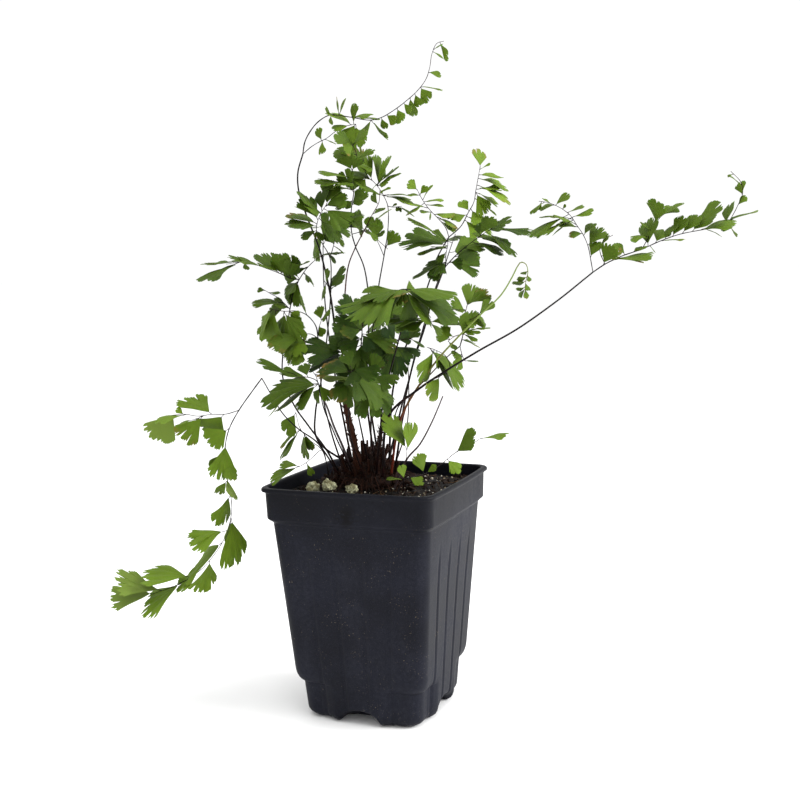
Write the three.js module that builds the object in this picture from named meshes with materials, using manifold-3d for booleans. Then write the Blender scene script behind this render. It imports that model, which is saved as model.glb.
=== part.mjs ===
// A potted maidenhair fern: a thin-walled square nursery pot, its potting mix, the fern's crown,
// and the fronds that rise from it. Millimetres, +Z up, origin on the table under the pot's centre.
// The pot's four faces look along X and Y; the fern stands in it turned by fernTurn.
import * as THREE from 'three';
import { mergeVertices } from 'three/addons/utils/BufferGeometryUtils.js';
import Module from 'manifold-3d';

const wasm = await Module();
wasm.setup();

// ---------------------------------------------------------------- driving dimensions
const pot = {
  height: 116.5, // table to the top of the rim
  baseHalf: 32.8, // half-width of the tapered body, extrapolated to the table
  neckHalf: 40.6, // half-width just under the collar
  neckHeight: 98.9, // where the body meets the shoulder
  collarHalf: 42.7,
  lipHalf: 44.5,
  lipDepth: 1.6,
  shoulder: 2.6, // height of the step between body and collar
  corner: 7, // outside corner radius
  wall: 1.2,
  floor: 1.4,
  bow: 0.9, // how far the damp soil pushes each side of the collar outwards
  footHeight: 20, // the corners step in below this height
  footStep: 3,
  footRound: 4, // how far the foot's bottom edge is rounded in
};
const groove = { depth: 0.55, halfWidth: 0.9, places: [-0.66, -0.22, 0.22, 0.66], fades: 90, full: 74 };
const plainPlaces = [-0.66, 0, 0.66]; // a plain side's points, as shares of its flat
const cornerSteps = 4;
const channel = { halfWidth: 11, height: 6, innerEnd: 19, skin: 1.3, holeRadius: 3, holeAt: 24 };
const soil = { edgeHeight: 110.1, mound: 1.8, gap: 0.35 };
const crown = { centre: [-4.6, 1, 112.7], radii: [19, 17, 13], bump: 1.2 };
const fernTurn = THREE.MathUtils.degToRad(22.3);
const clearGap = 0.3; // solids that touch in life are kept this far apart
const leafThickness = 0.5;
const stipeRadius = 0.6;
const branchRadius = 0.45;
const knotRadius = 0.9;
const twigStep = 8; // length of the straight steps that stand in for a twig's curve
const heel = 0.2; // how far a leaflet reaches back past its twig's middle
const widest = 36; // the largest half spread of a leaflet, in degrees

const materials = {
  plastic: new THREE.MeshStandardMaterial({ color: 0x26272f, roughness: 0.55, metalness: 0 }),
  mix: new THREE.MeshStandardMaterial({ color: 0x1d1410, roughness: 1, metalness: 0 }),
  perlite: new THREE.MeshStandardMaterial({ color: 0xb9b790, roughness: 0.95, metalness: 0 }),
  scaly: new THREE.MeshStandardMaterial({ color: 0x2c170e, roughness: 0.9, metalness: 0 }),
  wiry: new THREE.MeshStandardMaterial({ color: 0x1a0f0d, roughness: 0.35, metalness: 0 }),
  green: new THREE.MeshStandardMaterial({ color: 0x4f7a22, roughness: 0.6, metalness: 0 }),
};

// ---------------------------------------------------------------- solids
const vec = (p) => new THREE.Vector3(...p);
const mix = THREE.MathUtils.lerp;

// A repeatable number from -1 to 1 for a seed.
function jitter(seed) {
  const s = Math.sin(seed * 12.9898) * 43758.5453;
  return 2 * (s - Math.floor(s)) - 1;
}

function toSolid(geometry) {
  const bare = geometry.index ? geometry.toNonIndexed() : geometry.clone();
  for (const extra of ['normal', 'uv']) bare.deleteAttribute(extra);
  const merged = mergeVertices(bare, 1e-4);
  return new wasm.Manifold(
    new wasm.Mesh({
      numProp: 3,
      vertProperties: new Float32Array(merged.attributes.position.array),
      triVerts: new Uint32Array(merged.index.array),
    }),
  );
}

function toMesh(name, solid, material) {
  const mesh = solid.getMesh();
  const geometry = new THREE.BufferGeometry();
  geometry.setAttribute('position', new THREE.BufferAttribute(new Float32Array(mesh.vertProperties), 3));
  geometry.setIndex(new THREE.BufferAttribute(new Uint32Array(mesh.triVerts), 1));
  const made = new THREE.Mesh(geometry, material);
  made.name = name;
  return made;
}

// Closes a stack of rings, each a list of the same number of points, into one skin.
function loft(rings) {
  const count = rings[0].length;
  const points = rings.flat();
  const middle = (ring) => ring.reduce((sum, p) => sum.add(p), new THREE.Vector3()).divideScalar(count);
  const start = points.push(middle(rings[0])) - 1;
  const end = points.push(middle(rings.at(-1))) - 1;
  const faces = [];
  for (let i = 0; i < count; i++) {
    const next = (i + 1) % count;
    faces.push(start, next, i);
    for (let k = 0; k + 1 < rings.length; k++) {
      const low = k * count;
      const high = low + count;
      faces.push(low + i, low + next, high + next, low + i, high + next, high + i);
    }
    const top = (rings.length - 1) * count;
    faces.push(end, top + i, top + next);
  }
  const geometry = new THREE.BufferGeometry().setFromPoints(points);
  geometry.setIndex(faces);
  return toSolid(geometry);
}

// The path of a stem: a smooth curve through a line's points, remade from points about stepLength apart.
// trim leaves that much of its far end off.
function stemPath(line, stepLength, trim = 0) {
  const whole = new THREE.CatmullRomCurve3(line.map(vec));
  const kept = 1 - trim / whole.getLength();
  const steps = Math.max(line.length, Math.round(whole.getLength() / stepLength));
  return new THREE.CatmullRomCurve3(
    Array.from({ length: steps + 1 }, (_, k) => whole.getPointAt((k / steps) * kept)),
  );
}

// A stem: a rod that follows its path in straight steps.
function stem(path, radius, sides) {
  const section = new THREE.Shape();
  for (let i = 0; i < sides; i++) {
    const angle = (i / sides) * 2 * Math.PI;
    section[i ? 'lineTo' : 'moveTo'](Math.cos(angle) * radius, Math.sin(angle) * radius);
  }
  const steps = path.points.length - 1;
  return toSolid(new THREE.ExtrudeGeometry(section, { steps, bevelEnabled: false, extrudePath: path }));
}

// ---------------------------------------------------------------- pot
// One level of the pot: a rounded square whose sides bow a little and whose corners can step in.
// A depth above zero presses grooves into the sides; otherwise each side is plain.
function level(z, half, { corner = pot.corner, depth = 0, step = 0, bow = 0, plain = false } = {}) {
  const ring = [];
  const flat = half - corner;
  const places = plain ? plainPlaces : groove.places;
  for (let side = 0; side < 4; side++) {
    const turn = (side * Math.PI) / 2;
    const add = (out, along) => {
      ring.push(
        new THREE.Vector3(
          out * Math.cos(turn) - along * Math.sin(turn),
          out * Math.sin(turn) + along * Math.cos(turn),
          z,
        ),
      );
    };
    places.forEach((place, i) => {
      const at = place * flat;
      const face = half + bow * (1 - place * place);
      const before = i === 0 ? step : 0;
      const after = i === places.length - 1 ? step : 0;
      if (plain) {
        add(face - Math.max(before, after), at);
        return;
      }
      add(face - before, at - groove.halfWidth);
      add(face - depth - Math.max(before, after) / 2, at);
      add(face - after, at + groove.halfWidth);
    });
    const centre = half - step - corner;
    for (let i = 0; i <= cornerSteps; i++) {
      const angle = (i / cornerSteps) * (Math.PI / 2);
      add(centre + corner * Math.cos(angle), centre + corner * Math.sin(angle));
    }
  }
  return ring;
}

const bodyHalf = (z) => mix(pot.baseHalf, pot.neckHalf, z / pot.neckHeight);

// The levels of the pot's skin from the table up. The inside is plain, drawn in by inset and up by rise.
function potLevels(inset = 0, rise = 0) {
  const plain = inset > 0;
  const corner = pot.corner - inset * 0.6;
  const foot = { plain, corner, step: pot.footStep };
  const cut = plain ? 0 : groove.depth;
  const side = (z, more) => level(z, bodyHalf(z) - inset, { plain, corner, ...more });
  const collar = (z, half) => level(z, half - inset, { plain, corner, bow: pot.bow });
  return [
    level(rise, bodyHalf(0) - pot.footRound - inset, { ...foot, step: pot.footStep * 0.6 }),
    side(pot.footRound + rise, { step: pot.footStep }),
    side(pot.footHeight - 1.5, { step: pot.footStep, depth: cut }),
    side(pot.footHeight + 2, { depth: cut }),
    side(groove.full, { depth: cut }),
    side(groove.fades, {}),
    side(pot.neckHeight, { bow: pot.bow / 2 }),
    collar(pot.neckHeight + pot.shoulder, pot.collarHalf),
    collar(pot.height - pot.lipDepth, pot.collarHalf + 0.4),
  ];
}

// Four drain channels run in from the middle of each side; grow makes a thicker copy for their skins.
function channels(grow) {
  const arch = new THREE.Shape();
  arch.moveTo(-channel.halfWidth - grow, -1);
  arch.lineTo(channel.halfWidth + grow, -1);
  arch.lineTo(channel.halfWidth + grow, 0);
  arch.absellipse(0, 0, channel.halfWidth + grow, channel.height + grow, 0, Math.PI, false);
  const length = pot.baseHalf + 8 - channel.innerEnd + grow;
  const bar = new THREE.ExtrudeGeometry(arch, { depth: length, bevelEnabled: false, curveSegments: 5 });
  bar.rotateX(Math.PI / 2);
  bar.translate(0, -channel.innerEnd + grow, 0);
  const solids = [];
  for (let side = 0; side < 4; side++) {
    solids.push(toSolid(bar.clone().rotateZ((side * Math.PI) / 2)));
  }
  return wasm.Manifold.union(solids);
}

function makePot() {
  const body = potLevels();
  const lip = [
    level(pot.height - pot.lipDepth + 0.1, pot.lipHalf, { bow: pot.bow }),
    level(pot.height, pot.lipHalf - 0.2, { bow: pot.bow }),
  ];
  const hollow = potLevels(pot.wall, pot.floor);
  hollow.push(hollow.at(-1).map((p) => new THREE.Vector3(p.x, p.y, pot.height + 1)));
  const hole = new THREE.CylinderGeometry(channel.holeRadius, channel.holeRadius, 12, 8);
  hole.rotateX(Math.PI / 2);
  hole.translate(0, -channel.holeAt, channel.height);
  const holes = [0, 1, 2, 3].map((side) => toSolid(hole.clone().rotateZ((side * Math.PI) / 2)));
  return loft([...body, ...lip])
    .subtract(loft(hollow))
    .add(channels(channel.skin).intersect(loft(body)))
    .subtract(channels(0))
    .subtract(wasm.Manifold.union(holes));
}

// ---------------------------------------------------------------- potting mix
function makeSoil(crownPocket) {
  const inset = pot.wall + soil.gap;
  const levels = potLevels(inset, pot.floor + soil.gap).slice(0, -1);
  const rim = { plain: true, corner: pot.corner - inset * 0.6, bow: pot.bow };
  const edge = level(soil.edgeHeight, pot.collarHalf - inset, rim);
  levels.push(edge);
  for (const share of [0.75, 0.45]) {
    const rise = soil.mound * (1 - share);
    levels.push(edge.map((p, i) => new THREE.Vector3(p.x * share, p.y * share, p.z + rise + 0.5 * jitter(i))));
  }
  return loft(levels).subtract(channels(channel.skin + soil.gap)).subtract(crownPocket);
}

// A lumpy dome, the crown that every frond grows from; grow makes a larger copy to cut clearances.
function makeCrown(grow) {
  const ball = new THREE.SphereGeometry(1, 14, 10);
  const place = ball.attributes.position;
  for (let i = 0; i < place.count; i++) {
    const p = new THREE.Vector3().fromBufferAttribute(place, i);
    const lump = crown.bump * Math.sin(5 * p.x + 2) * Math.cos(4 * p.y) * (1 - p.z * p.z);
    const size = crown.radii.map((r) => r + grow + lump);
    place.setXYZ(i, p.x * size[0], p.y * size[1], p.z * size[2]);
  }
  ball.translate(...crown.centre);
  return toSolid(ball);
}

// ---------------------------------------------------------------- fronds
// A frond is a wiry stipe and a leafy blade. face is the way its leaflets' upper sides look.
// Every point is across, back and up in the fern's own frame. A branch starts where the stipe ends or at
// a point of an earlier branch. Each of its leaflets is listed as the share of the branch it stands at,
// its way across, back and up from foot to tip, and half its spread as seen from the front, in degrees:
// a spread below zero shows the pale underside. Some end with the share of their length that is stalk.
const fronds = [
  {
    name: 'left_hanging',
    face: [0.1, -1, 0.2],
    stipe: [[-18.6, -3, 116.7], [-29.1, -4, 134.5], [-38.1, -5, 141.8], [-45.5, -7, 150.2],
      [-50.4, -8, 158.8], [-54.7, -10, 167.9]],
    branches: [
      {
        line: [[-54.7, -10, 167.9], [-60.3, -10, 160.8], [-66.3, -11, 152.7], [-70.9, -12, 144.7],
          [-73.1, -12, 137.9], [-74, -12, 129.5], [-73.3, -13, 119.8], [-72.1, -13, 112.9],
          [-71.5, -13, 105.4], [-72.8, -13, 98], [-75.4, -14, 90.8], [-81.2, -14, 82],
          [-89.2, -15, 73.9], [-100.3, -15, 67.7], [-112.3, -15, 63.5]],
        leaves: [[0.22, -11, -3.3, -7.2, 38], [0.28, -0.6, -7.1, -18.6, 19], [0.31, -5.3, -3, -8.4, 24],
          [0.35, 5, -4.5, -9, 22], [0.41, 2.7, -5.1, -10.7, -15], [0.42, -6.6, 1.6, -7.2, 20],
          [0.47, -5.3, -3.2, -15.5, 14], [0.56, 3.5, -2.1, -25.3, 19], [0.57, -1.1, -1, -12.5, 12],
          [0.61, -18.7, -10.4, -2.2, 18, 0.05], [0.66, -23.7, 6.9, -17.4, 17],
          [0.74, -5.3, 4.2, -18.1, 20], [0.79, -12.3, -3.1, -9.3, 18], [0.84, -23.5, -2, 6.6, 14],
          [0.88, -20.1, -3.7, -12, 19], [0.96, -21.2, -5, 8, -14], [0.99, -23.1, 2.4, -2.6, -18]],
      },
      {
        line: [[-66.3, -11, 152.7], [-72.7, -11, 151], [-79.5, -11, 151.1], [-86.1, -12, 150.5],
          [-92.4, -12, 151.6], [-98.7, -12, 151.3]],
        leaves: [[0.23, -11.4, 6.7, -11.4, 36], [0.41, -13.2, 8, 9.3, 25], [0.53, -11.2, -2.5, -11.9, 33],
          [0.54, -11.7, -2.8, -3.4, 14, 0.4], [0.79, -14.4, -5.2, -1.8, 10],
          [0.83, -3.2, -0.5, 3.1, 25], [0.94, -13.2, 6.5, -12.1, -34]],
      },
    ],
  },
  {
    name: 'top_arch',
    face: [-0.2, -1, 0.3],
    stipe: [[-9.6, 7, 121.7], [-16.4, 12, 153.6], [-19.2, 14, 178.8], [-21.5, 15, 204], [-26.1, 15, 229],
      [-32.4, 14, 246.9], [-35.4, 13, 258.7], [-35.5, 13, 267.4], [-32.7, 12, 276]],
    branches: [
      {
        line: [[-32.7, 12, 276], [-31.5, 12, 281.8], [-28.2, 11, 287.3], [-24.1, 10, 291.4], [-18.6, 9, 294],
          [-8.8, 8, 292.7], [0.9, 8, 291], [6.8, 7, 292.1], [12.7, 7, 295.3], [18.6, 7, 299.4],
          [24.6, 7, 304.5], [28.6, 7, 309.6], [30.6, 7, 315.2], [31.7, 7, 321.2], [34.3, 7, 326.3],
          [37.7, 7, 327.2]],
        leaves: [[0.25, -0.3, 1.5, -4.1, 24], [0.25, -2.5, 2.1, 3.6, 14], [0.29, -0.8, -1.9, 7.9, 7],
          [0.29, 2.9, 4, 8.2, 6], [0.35, 9.6, -1.8, 1, 18], [0.39, 8.9, 3.6, 1, 8],
          [0.45, -5.1, 0.2, -7.6, 24], [0.45, 6.6, -0.1, -9.3, 5], [0.5, 1.4, -0.1, -5.5, 26],
          [0.53, 3.6, -2, -3.7, 28], [0.59, 1.8, -2.1, -6.9, 26], [0.63, 3, -1.6, -4.6, 28],
          [0.67, 1.3, 3.9, -8.2, 26], [0.7, 1.6, -0.5, -6, 26], [0.74, 3.1, -2.9, -6.5, 34],
          [0.74, 9.8, 4.1, 1, 7], [0.82, 5.9, 0.7, -0.8, 30], [0.92, 5, 2.7, -2.2, 16],
          [0.93, 4.1, -1.9, 2.1, 16, 0.07], [0.98, 2.6, -3.2, -7.9, 8]],
      },
      {
        line: [[-32.7, 12, 276], [-28.6, 12, 279.3], [-24.5, 11, 281.5], [-20.5, 10, 283.2],
          [-15.9, 9, 286.3], [-10.9, 8, 288.4], [-6, 8, 289.3]],
        leaves: [[0.38, -2.6, -0.9, 5, 20], [0.39, -0.9, -1.4, -6.8, 20], [0.43, 5.5, 0.6, -1.9, 14],
          [0.9, -8.1, -2.3, -1.5, 26], [0.93, -9.7, 3.7, 7.3, 16], [0.97, -0.8, -2.1, 8.9, 22, 0.07],
          [1, -5.6, -0.9, -7.2, 34], [1, 0.3, -5, -11.1, 34]],
      },
    ],
  },
  {
    name: 'left_arch',
    face: [-0.3, -0.9, 0.5],
    stipe: [[-19.6, 3, 117.7], [-25.3, 3, 129.7], [-33.9, 4, 141.9], [-41, 4, 152.7], [-45.4, 3, 164.9],
      [-45.3, 2, 177.9], [-43.3, 1, 189.3], [-40.8, 0, 200.5]],
    branches: [
      {
        line: [[-40.8, 0, 200.5], [-39.1, 0, 207.8], [-35.8, -1, 214.5], [-31.2, -1, 220.7],
          [-26.1, -2, 224.9], [-20.2, -2, 227.6]],
        leaves: [[0.4, -8, 4, -5, 20], [0.41, -4.3, 1.7, -11.2, 34], [0.43, -6.4, -2.1, 10, 26],
          [0.54, 5.2, 1.9, -5.2, 12, 0.11], [0.62, -5.3, 2.1, -1.5, 16], [0.96, 7.7, -1.8, 0.9, 12],
          [0.97, 4.2, 0.8, -4.4, 20]],
      },
      {
        line: [[-35.8, -1, 214.5], [-40, -2, 215.6], [-45.1, -4, 218.2], [-51.2, -5, 220.7],
          [-56.7, -6, 222.8], [-63.3, -7, 223.9], [-69.9, -8, 223.1]],
        leaves: [[0.12, 4, -4, 7.6, 18], [0.14, -5.4, -4.9, 10.1, 30], [0.21, -10.2, 6.3, 11.7, 24],
          [0.27, 11.3, 6.1, 5.2, 8, 0.06], [0.28, -9.7, 1.4, 7, 16], [0.53, -13.2, -6.1, 6.3, 13],
          [0.62, -6.6, -3.3, 4.1, 12], [0.73, -18.9, 4.7, 1.8, 9], [0.76, 0.7, 0.8, -3.7, 30],
          [0.82, -16.4, -9.8, -7.6, 9]],
      },
      {
        line: [[-40.8, 0, 200.5], [-43.5, -1, 203.6], [-46.8, -1, 206.6], [-50.1, -2, 208.6],
          [-53.4, -2, 210.6]],
        leaves: [[0.05, -7.4, 2.4, 4.5, 14], [0.13, -11, 5.3, -3.4, 26], [0.26, -15.4, 2.6, 1.3, 14],
          [0.8, 5, -0.7, -0.4, 20], [0.93, -3.3, -0.2, 0.7, 30]],
      },
    ],
  },
  {
    name: 'left_low',
    face: [-0.3, -0.9, 0.4],
    stipe: [[-15.6, -9, 117.7], [-22, -12, 141.9], [-24.6, -16, 157.1], [-25.8, -19, 171.9], [-26, -22, 187.3]],
    branches: [
      {
        line: [[-26, -22, 187.3], [-26.8, -22, 193], [-30.8, -22, 198.2], [-35.4, -23, 200.3],
          [-41.5, -23, 200.4], [-47.4, -24, 201.6]],
        leaves: [[0.42, -3, -3.3, 8.5, 10], [0.7, 3.4, 0.4, -9.1, 22], [0.79, -3.2, 9.7, -19.9, 26],
          [0.92, -5.1, 5.4, -18.1, 28], [0.98, -8.2, 6.4, -10.4, 24]],
      },
      {
        line: [[-26, -22, 187.3], [-29.3, -22, 189.3], [-33, -23, 188.9], [-34.5, -23, 185.7]],
        leaves: [[0.63, -14.9, -6.8, -2.3, 27], [0.66, -3.5, 3.3, 5.9, 18], [0.71, -11, 1.5, -7.6, 24],
          [0.97, 2.8, -3, -4.8, 24, 0.07], [0.98, -4.2, -5.2, -10.5, 30]],
      },
      {
        line: [[-26, -22, 187.3], [-25.5, -21, 191.9], [-24, -20, 196.1]],
        leaves: [[0.63, 1.6, -1.6, -4.3, 38], [0.93, -1.5, 1.2, 6.2, 36], [1, 4.1, -1.6, 4.6, 18]],
      },
    ],
  },
  {
    name: 'front_left',
    face: [-0.2, -0.6, 0.8],
    stipe: [[-11.6, -11, 118.7], [-20.6, -20, 143], [-23.7, -32, 154.3], [-24.8, -38, 164.3]],
    branches: [
      {
        line: [[-24.8, -38, 164.3], [-25.7, -42, 168.9], [-29.5, -46, 171.2], [-33.8, -48, 171.5]],
        leaves: [[0.09, -2.9, 2.9, -5.9, 30], [0.22, 4.9, 0, -6.9, 30], [0.24, -23.3, 9.3, -0.4, 20],
          [0.26, -21.4, 11.6, -7.9, 17], [0.27, -10.6, 0.7, -9.4, 22, 0.05], [0.72, -2.2, 1.8, 5.8, 34],
          [0.77, -10.8, -0.1, 3, 18], [1, -15.3, -4.4, 8, 9, 0.18]],
      },
      {
        line: [[-24.8, -38, 164.3], [-26.3, -40, 171], [-27.4, -42, 173.1]],
        leaves: [[0.77, 13.7, -4.5, -4.1, -10], [0.86, 22.6, 9, -8.1, -8]],
      },
    ],
  },
  {
    name: 'front_middle',
    face: [0, -0.6, 0.8],
    stipe: [[-6.6, -13, 118.7], [-12.8, -22, 142.1], [-12, -32, 154.9], [-11.9, -38, 164.9]],
    branches: [
      {
        line: [[-11.9, -38, 164.9], [-10.5, -46, 170.3], [-9.1, -54, 174.6], [-9.7, -60, 176.9]],
        leaves: [[0.23, -7, -2.9, -7.3, 30], [0.31, -0.2, -0.3, -11.9, 34], [0.39, 8.5, 6.7, -13.5, 30],
          [0.63, 14.5, 8, -11.5, 26], [0.63, -13.7, 7.8, 4.3, 24], [0.75, 11.6, -5.6, -0.7, 28],
          [0.91, -3, 2.9, 6.6, 34]],
      },
      {
        line: [[-11.9, -38, 164.9], [-6.3, -38, 169.4], [-0.7, -38, 171.1]],
        leaves: [[0.78, -0.2, -5, -12.5, 30], [0.93, 6, -7.9, -17.4, 28], [1, 10.9, -3, -4.6, 26],
          [1, 3, -2.1, 8.3, 34]],
      },
    ],
  },
  {
    name: 'front_high',
    face: [0.1, -0.6, 0.8],
    stipe: [[-0.6, -12, 119.7], [4.3, -24, 157.3], [10.6, -36, 181.7], [14.7, -44, 197.9], [15.3, -48, 204.8]],
    branches: [
      {
        line: [[15.3, -48, 204.8], [15.3, -52, 208], [15.3, -55, 209.8]],
        leaves: [[0.89, 2.9, 4.8, -12.6, 26], [0.89, -4.1, 3.8, -5.7, 24], [1, 22.1, 6.3, -10.5, 22],
          [1, 12.4, -0.3, -15.7, 18], [1, -10, 4.6, -10, 14], [1, -24.3, -13.5, -7.6, 14],
          [1, -17, -7.5, -2.9, 11], [1, 20.3, -7, -2.1, 16]],
      },
      {
        line: [[15.3, -48, 204.8], [21, -44, 199.1], [26.4, -42, 194.4]],
        leaves: [[0.93, -12.9, -6.3, -1.4, 12], [1, -20.2, -9.7, 4.5, 8], [1, 7.2, -0.8, 1.6, 22],
          [1, 5.3, 1.5, -5.7, 16]],
      },
    ],
  },
  {
    name: 'centre_low',
    face: [0, -0.7, 0.7],
    stipe: [[-4.6, -6, 123.7], [-9, -14, 154], [-7.2, -22, 171.6], [-5.7, -26, 183.7]],
    branches: [
      {
        line: [[-5.7, -26, 183.7], [-5, -28, 189.4], [-4.8, -31, 194.7], [-6.4, -33, 199.4]],
        leaves: [[0.09, 1, -4.5, -13.7, 38], [0.14, -14.9, 5.3, 3.9, 26], [0.2, -9.1, -5.5, -4.5, 30],
          [0.26, 11.9, 3.6, -10, 28], [0.32, 15.3, 0.3, -2.3, 30], [0.44, -12.4, -1.8, 6, 26],
          [0.57, 9.7, 0.4, 6.2, 30], [0.77, 6.1, 1, 7.4, 28], [0.82, -9.2, 0.2, 8.9, 30]],
      },
      {
        line: [[-5.7, -26, 183.7], [-11, -26, 181.5], [-13.8, -26, 179.7]],
        leaves: [[0.51, -0.2, -5.4, -12.2, 34], [0.63, -7.2, -2.4, 5.5, 24], [0.84, -6.5, 5.4, -10.1, 30],
          [0.89, -18.1, -4.8, 4.5, 24], [0.96, -16.1, 7.9, -4.2, 20]],
      },
    ],
  },
  {
    name: 'centre_right',
    face: [0.3, -0.7, 0.7],
    stipe: [[3.4, -8, 120.7], [4.6, -16, 156.3], [8.4, -20, 171], [9.6, -23, 180.7]],
    branches: [
      {
        line: [[9.6, -23, 180.7], [10.7, -25, 185.1], [14.5, -26, 186], [17.7, -27, 186]],
        leaves: [[0.18, 4.2, 7.2, -13.6, 26], [0.18, -5.3, -0.6, -13, 30], [0.22, 9.9, -3.2, -5.2, 24],
          [0.27, -8.9, 2, -3.8, 34], [0.37, -4.2, -3.9, 8.1, 34], [0.48, 6, 3.5, 4.3, 30],
          [0.96, 4.7, -2, 3.7, 26], [1, 6.5, -0.1, -3, 9]],
      },
    ],
  },
  {
    name: 'right_upper',
    face: [0.2, -0.9, 0.5],
    stipe: [[5.4, 4, 120.7], [9.6, 6, 163.6], [19.8, 8, 190.7], [27.8, 9, 211.2], [32.1, 10, 223.5],
      [38.2, 10, 233.6]],
    branches: [
      {
        line: [[38.2, 10, 233.6], [44.3, 10, 238.8], [47.9, 10, 245.1], [50.9, 10, 250.4], [52, 10, 256.2],
          [53.1, 10, 261.5], [54.2, 10, 266.8]],
        leaves: [[0.3, 8.2, -4.7, -5.6, 22], [0.36, 12.9, 5.4, -6.5, 20], [0.38, -8.8, -3.9, -1.7, 24],
          [0.43, -3.4, 0.6, 5.1, 32], [0.47, 4.7, -3.4, -7.8, 34], [0.61, 10.9, 1.2, -7.1, 8],
          [0.69, 5.4, -0.1, -9.8, 34], [0.69, 11.7, 3.3, -5.6, 9], [0.73, 11.7, -0.5, 0.6, 14],
          [0.78, 16.4, -3.6, -6, 11], [0.87, 13.3, 6.6, -2.7, 15], [0.91, 10.8, 3.8, 0.5, 20],
          [0.98, 5, -0.5, 2.8, 6], [1, 0.3, 1.9, 9.3, 30]],
      },
      {
        line: [[38.2, 10, 233.6], [36.8, 9, 238], [33.4, 8, 242.4], [29.6, 8, 246.4], [26.2, 7, 250.8],
          [22.9, 7, 257.2]],
        leaves: [[0.32, 7.4, 0.7, -5, 18], [0.41, 10.1, -3.7, -3.8, 14], [0.48, 8.6, -4.3, -0.4, 14],
          [0.53, -5.9, -0.7, 0.6, 16], [0.55, -0.7, -0.5, -3.8, 14], [0.63, -11.8, 0.2, 3.1, 12],
          [0.69, 8.2, -1.7, 0.2, 9], [0.73, -8.4, -3.8, -5.2, 10], [0.75, 8.5, 3.4, 2, 14],
          [0.79, 4.2, 0.5, 7.2, 4], [0.88, -6, 1.1, 1.4, 16], [0.89, 2.5, -2.4, 4, 26],
          [0.98, -4, -0.8, 3.8, 34]],
      },
    ],
  },
  {
    name: 'right_fan',
    face: [0.1, -0.8, 0.6],
    stipe: [[8.4, -3, 119.7], [16.5, -6, 164.6], [24.3, -10, 189.1], [31, -12, 211], [35.4, -13, 219.4]],
    branches: [
      {
        line: [[35.4, -13, 219.4], [40.2, -15, 224.4], [45.9, -16, 229], [51.6, -17, 233], [57.2, -18, 236.5]],
        leaves: [[0.1, 6.4, 1.7, -1.2, 34], [0.22, 10.8, -4, 1.8, 28], [0.42, 9.3, 1.2, 1.9, 24],
          [0.6, 15, -1.1, -4.2, 17], [0.72, 14.6, 3.6, -1.4, 16], [0.77, 3.9, -2.6, 8.9, 30],
          [0.89, 12.7, -6.6, -8.5, 7], [0.92, 9.9, 3.7, 5.8, 16], [0.97, 18, -4.2, -0.2, 13]],
      },
      {
        line: [[35.4, -13, 219.4], [35.5, -14, 225], [36.5, -15, 229.7], [36, -16, 232.5]],
        leaves: [[0.14, -14.7, 4.9, -4.8, 16], [0.35, -8.6, 3.7, -9.3, 26], [0.5, -4.5, 0.1, -4.7, 26],
          [0.63, -12.8, 4.1, 0.4, 16], [0.7, -18.1, 5.3, 8.7, 22], [0.86, -15.8, -9.8, 11.5, 9]],
      },
    ],
  },
  {
    name: 'centre_tall',
    face: [0.2, -0.9, 0.4],
    stipe: [[0.4, 8, 122.7], [-3.6, 11, 158.4], [-0.8, 13, 188.5], [2.9, 14, 211.3], [5.8, 15, 225.2]],
    branches: [
      {
        line: [[5.8, 15, 225.2], [8.1, 15, 238], [8.4, 14, 249.7], [6.6, 13, 254.6], [4.3, 12, 258.5],
          [0.9, 12, 262.5], [-3, 12, 264.6]],
        leaves: [[0.68, 13.3, -3.4, -1.1, 9], [0.68, -13.4, -3.9, 6.7, 15], [0.69, 10.7, -5.3, 0.7, 7],
          [0.81, 2.6, 4.8, 12.9, 20], [0.81, 9.4, -0.3, 6.9, 12], [0.82, 8.7, 5.3, 8.5, 8],
          [0.82, 6.5, -4.2, 13.5, 7], [0.89, -10.5, 3.5, 6.6, 24], [0.9, -2.6, -2.1, 10.6, 24],
          [0.94, -6.6, -2.3, 14.9, 20], [0.97, -10, 0.4, -4.1, 30]],
      },
      {
        line: [[5.8, 15, 225.2], [3.4, 14, 231.2], [1.1, 13, 235.6]],
        leaves: [[0.83, 0.3, 0.8, 10.1, 34], [0.94, -4.1, -2.3, 3.6, 16]],
      },
      {
        line: [[8.4, 14, 249.7], [11.4, 12, 249.1], [15.4, 11, 249.4]],
        leaves: [[0.34, 2, 0.5, 1.8, 20], [0.6, 3, 1.4, -1.6, 24], [0.73, 7.4, 4.1, -3.1, 10]],
      },
    ],
  },
  {
    name: 'crossing_red',
    face: [-0.1, -1, 0.2],
    stipe: [[-8.6, 1, 124.7], [-16.8, 3, 159.7], [-15.6, 4, 184.4], [-14.4, 4, 204.1], [-11.4, 4, 221.6],
      [-7.7, 4, 230.3]],
    branches: [
      {
        line: [[-7.7, 4, 230.3], [-3.6, 4, 237.5], [0.6, 4, 245.1], [4.2, 3, 251.2], [4.8, 3, 256.9]],
        leaves: [[0.29, -4.9, 3.4, 8.1, 20], [0.31, 4.5, 2.2, 3.4, 24], [0.36, 10.9, -3.3, 7.9, 5],
          [0.58, 5.2, 2.9, 3, 14], [0.77, -3.4, 1.6, 4.6, 24], [0.97, 4.5, -1.8, 2.1, 16]],
      },
      {
        line: [[-3.6, 4, 237.5], [-0.2, 3, 236.4], [3.2, 2, 232.9], [7.9, 1, 228.4]],
        leaves: [[0.48, 4, -1.7, 3.2, 20], [0.89, 6.8, -0.1, 4, 14], [0.93, 3.9, -3.9, 7.3, 28]],
      },
    ],
  },
  {
    name: 'crossing_dark',
    face: [-0.2, -0.9, 0.4],
    stipe: [[-1.6, -3, 124.7], [-4.7, -5, 160.2], [-2.3, -6, 189.5], [-2.2, -6, 208.9], [-3.8, -7, 220.4],
      [-7.3, -7, 229.1]],
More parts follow.
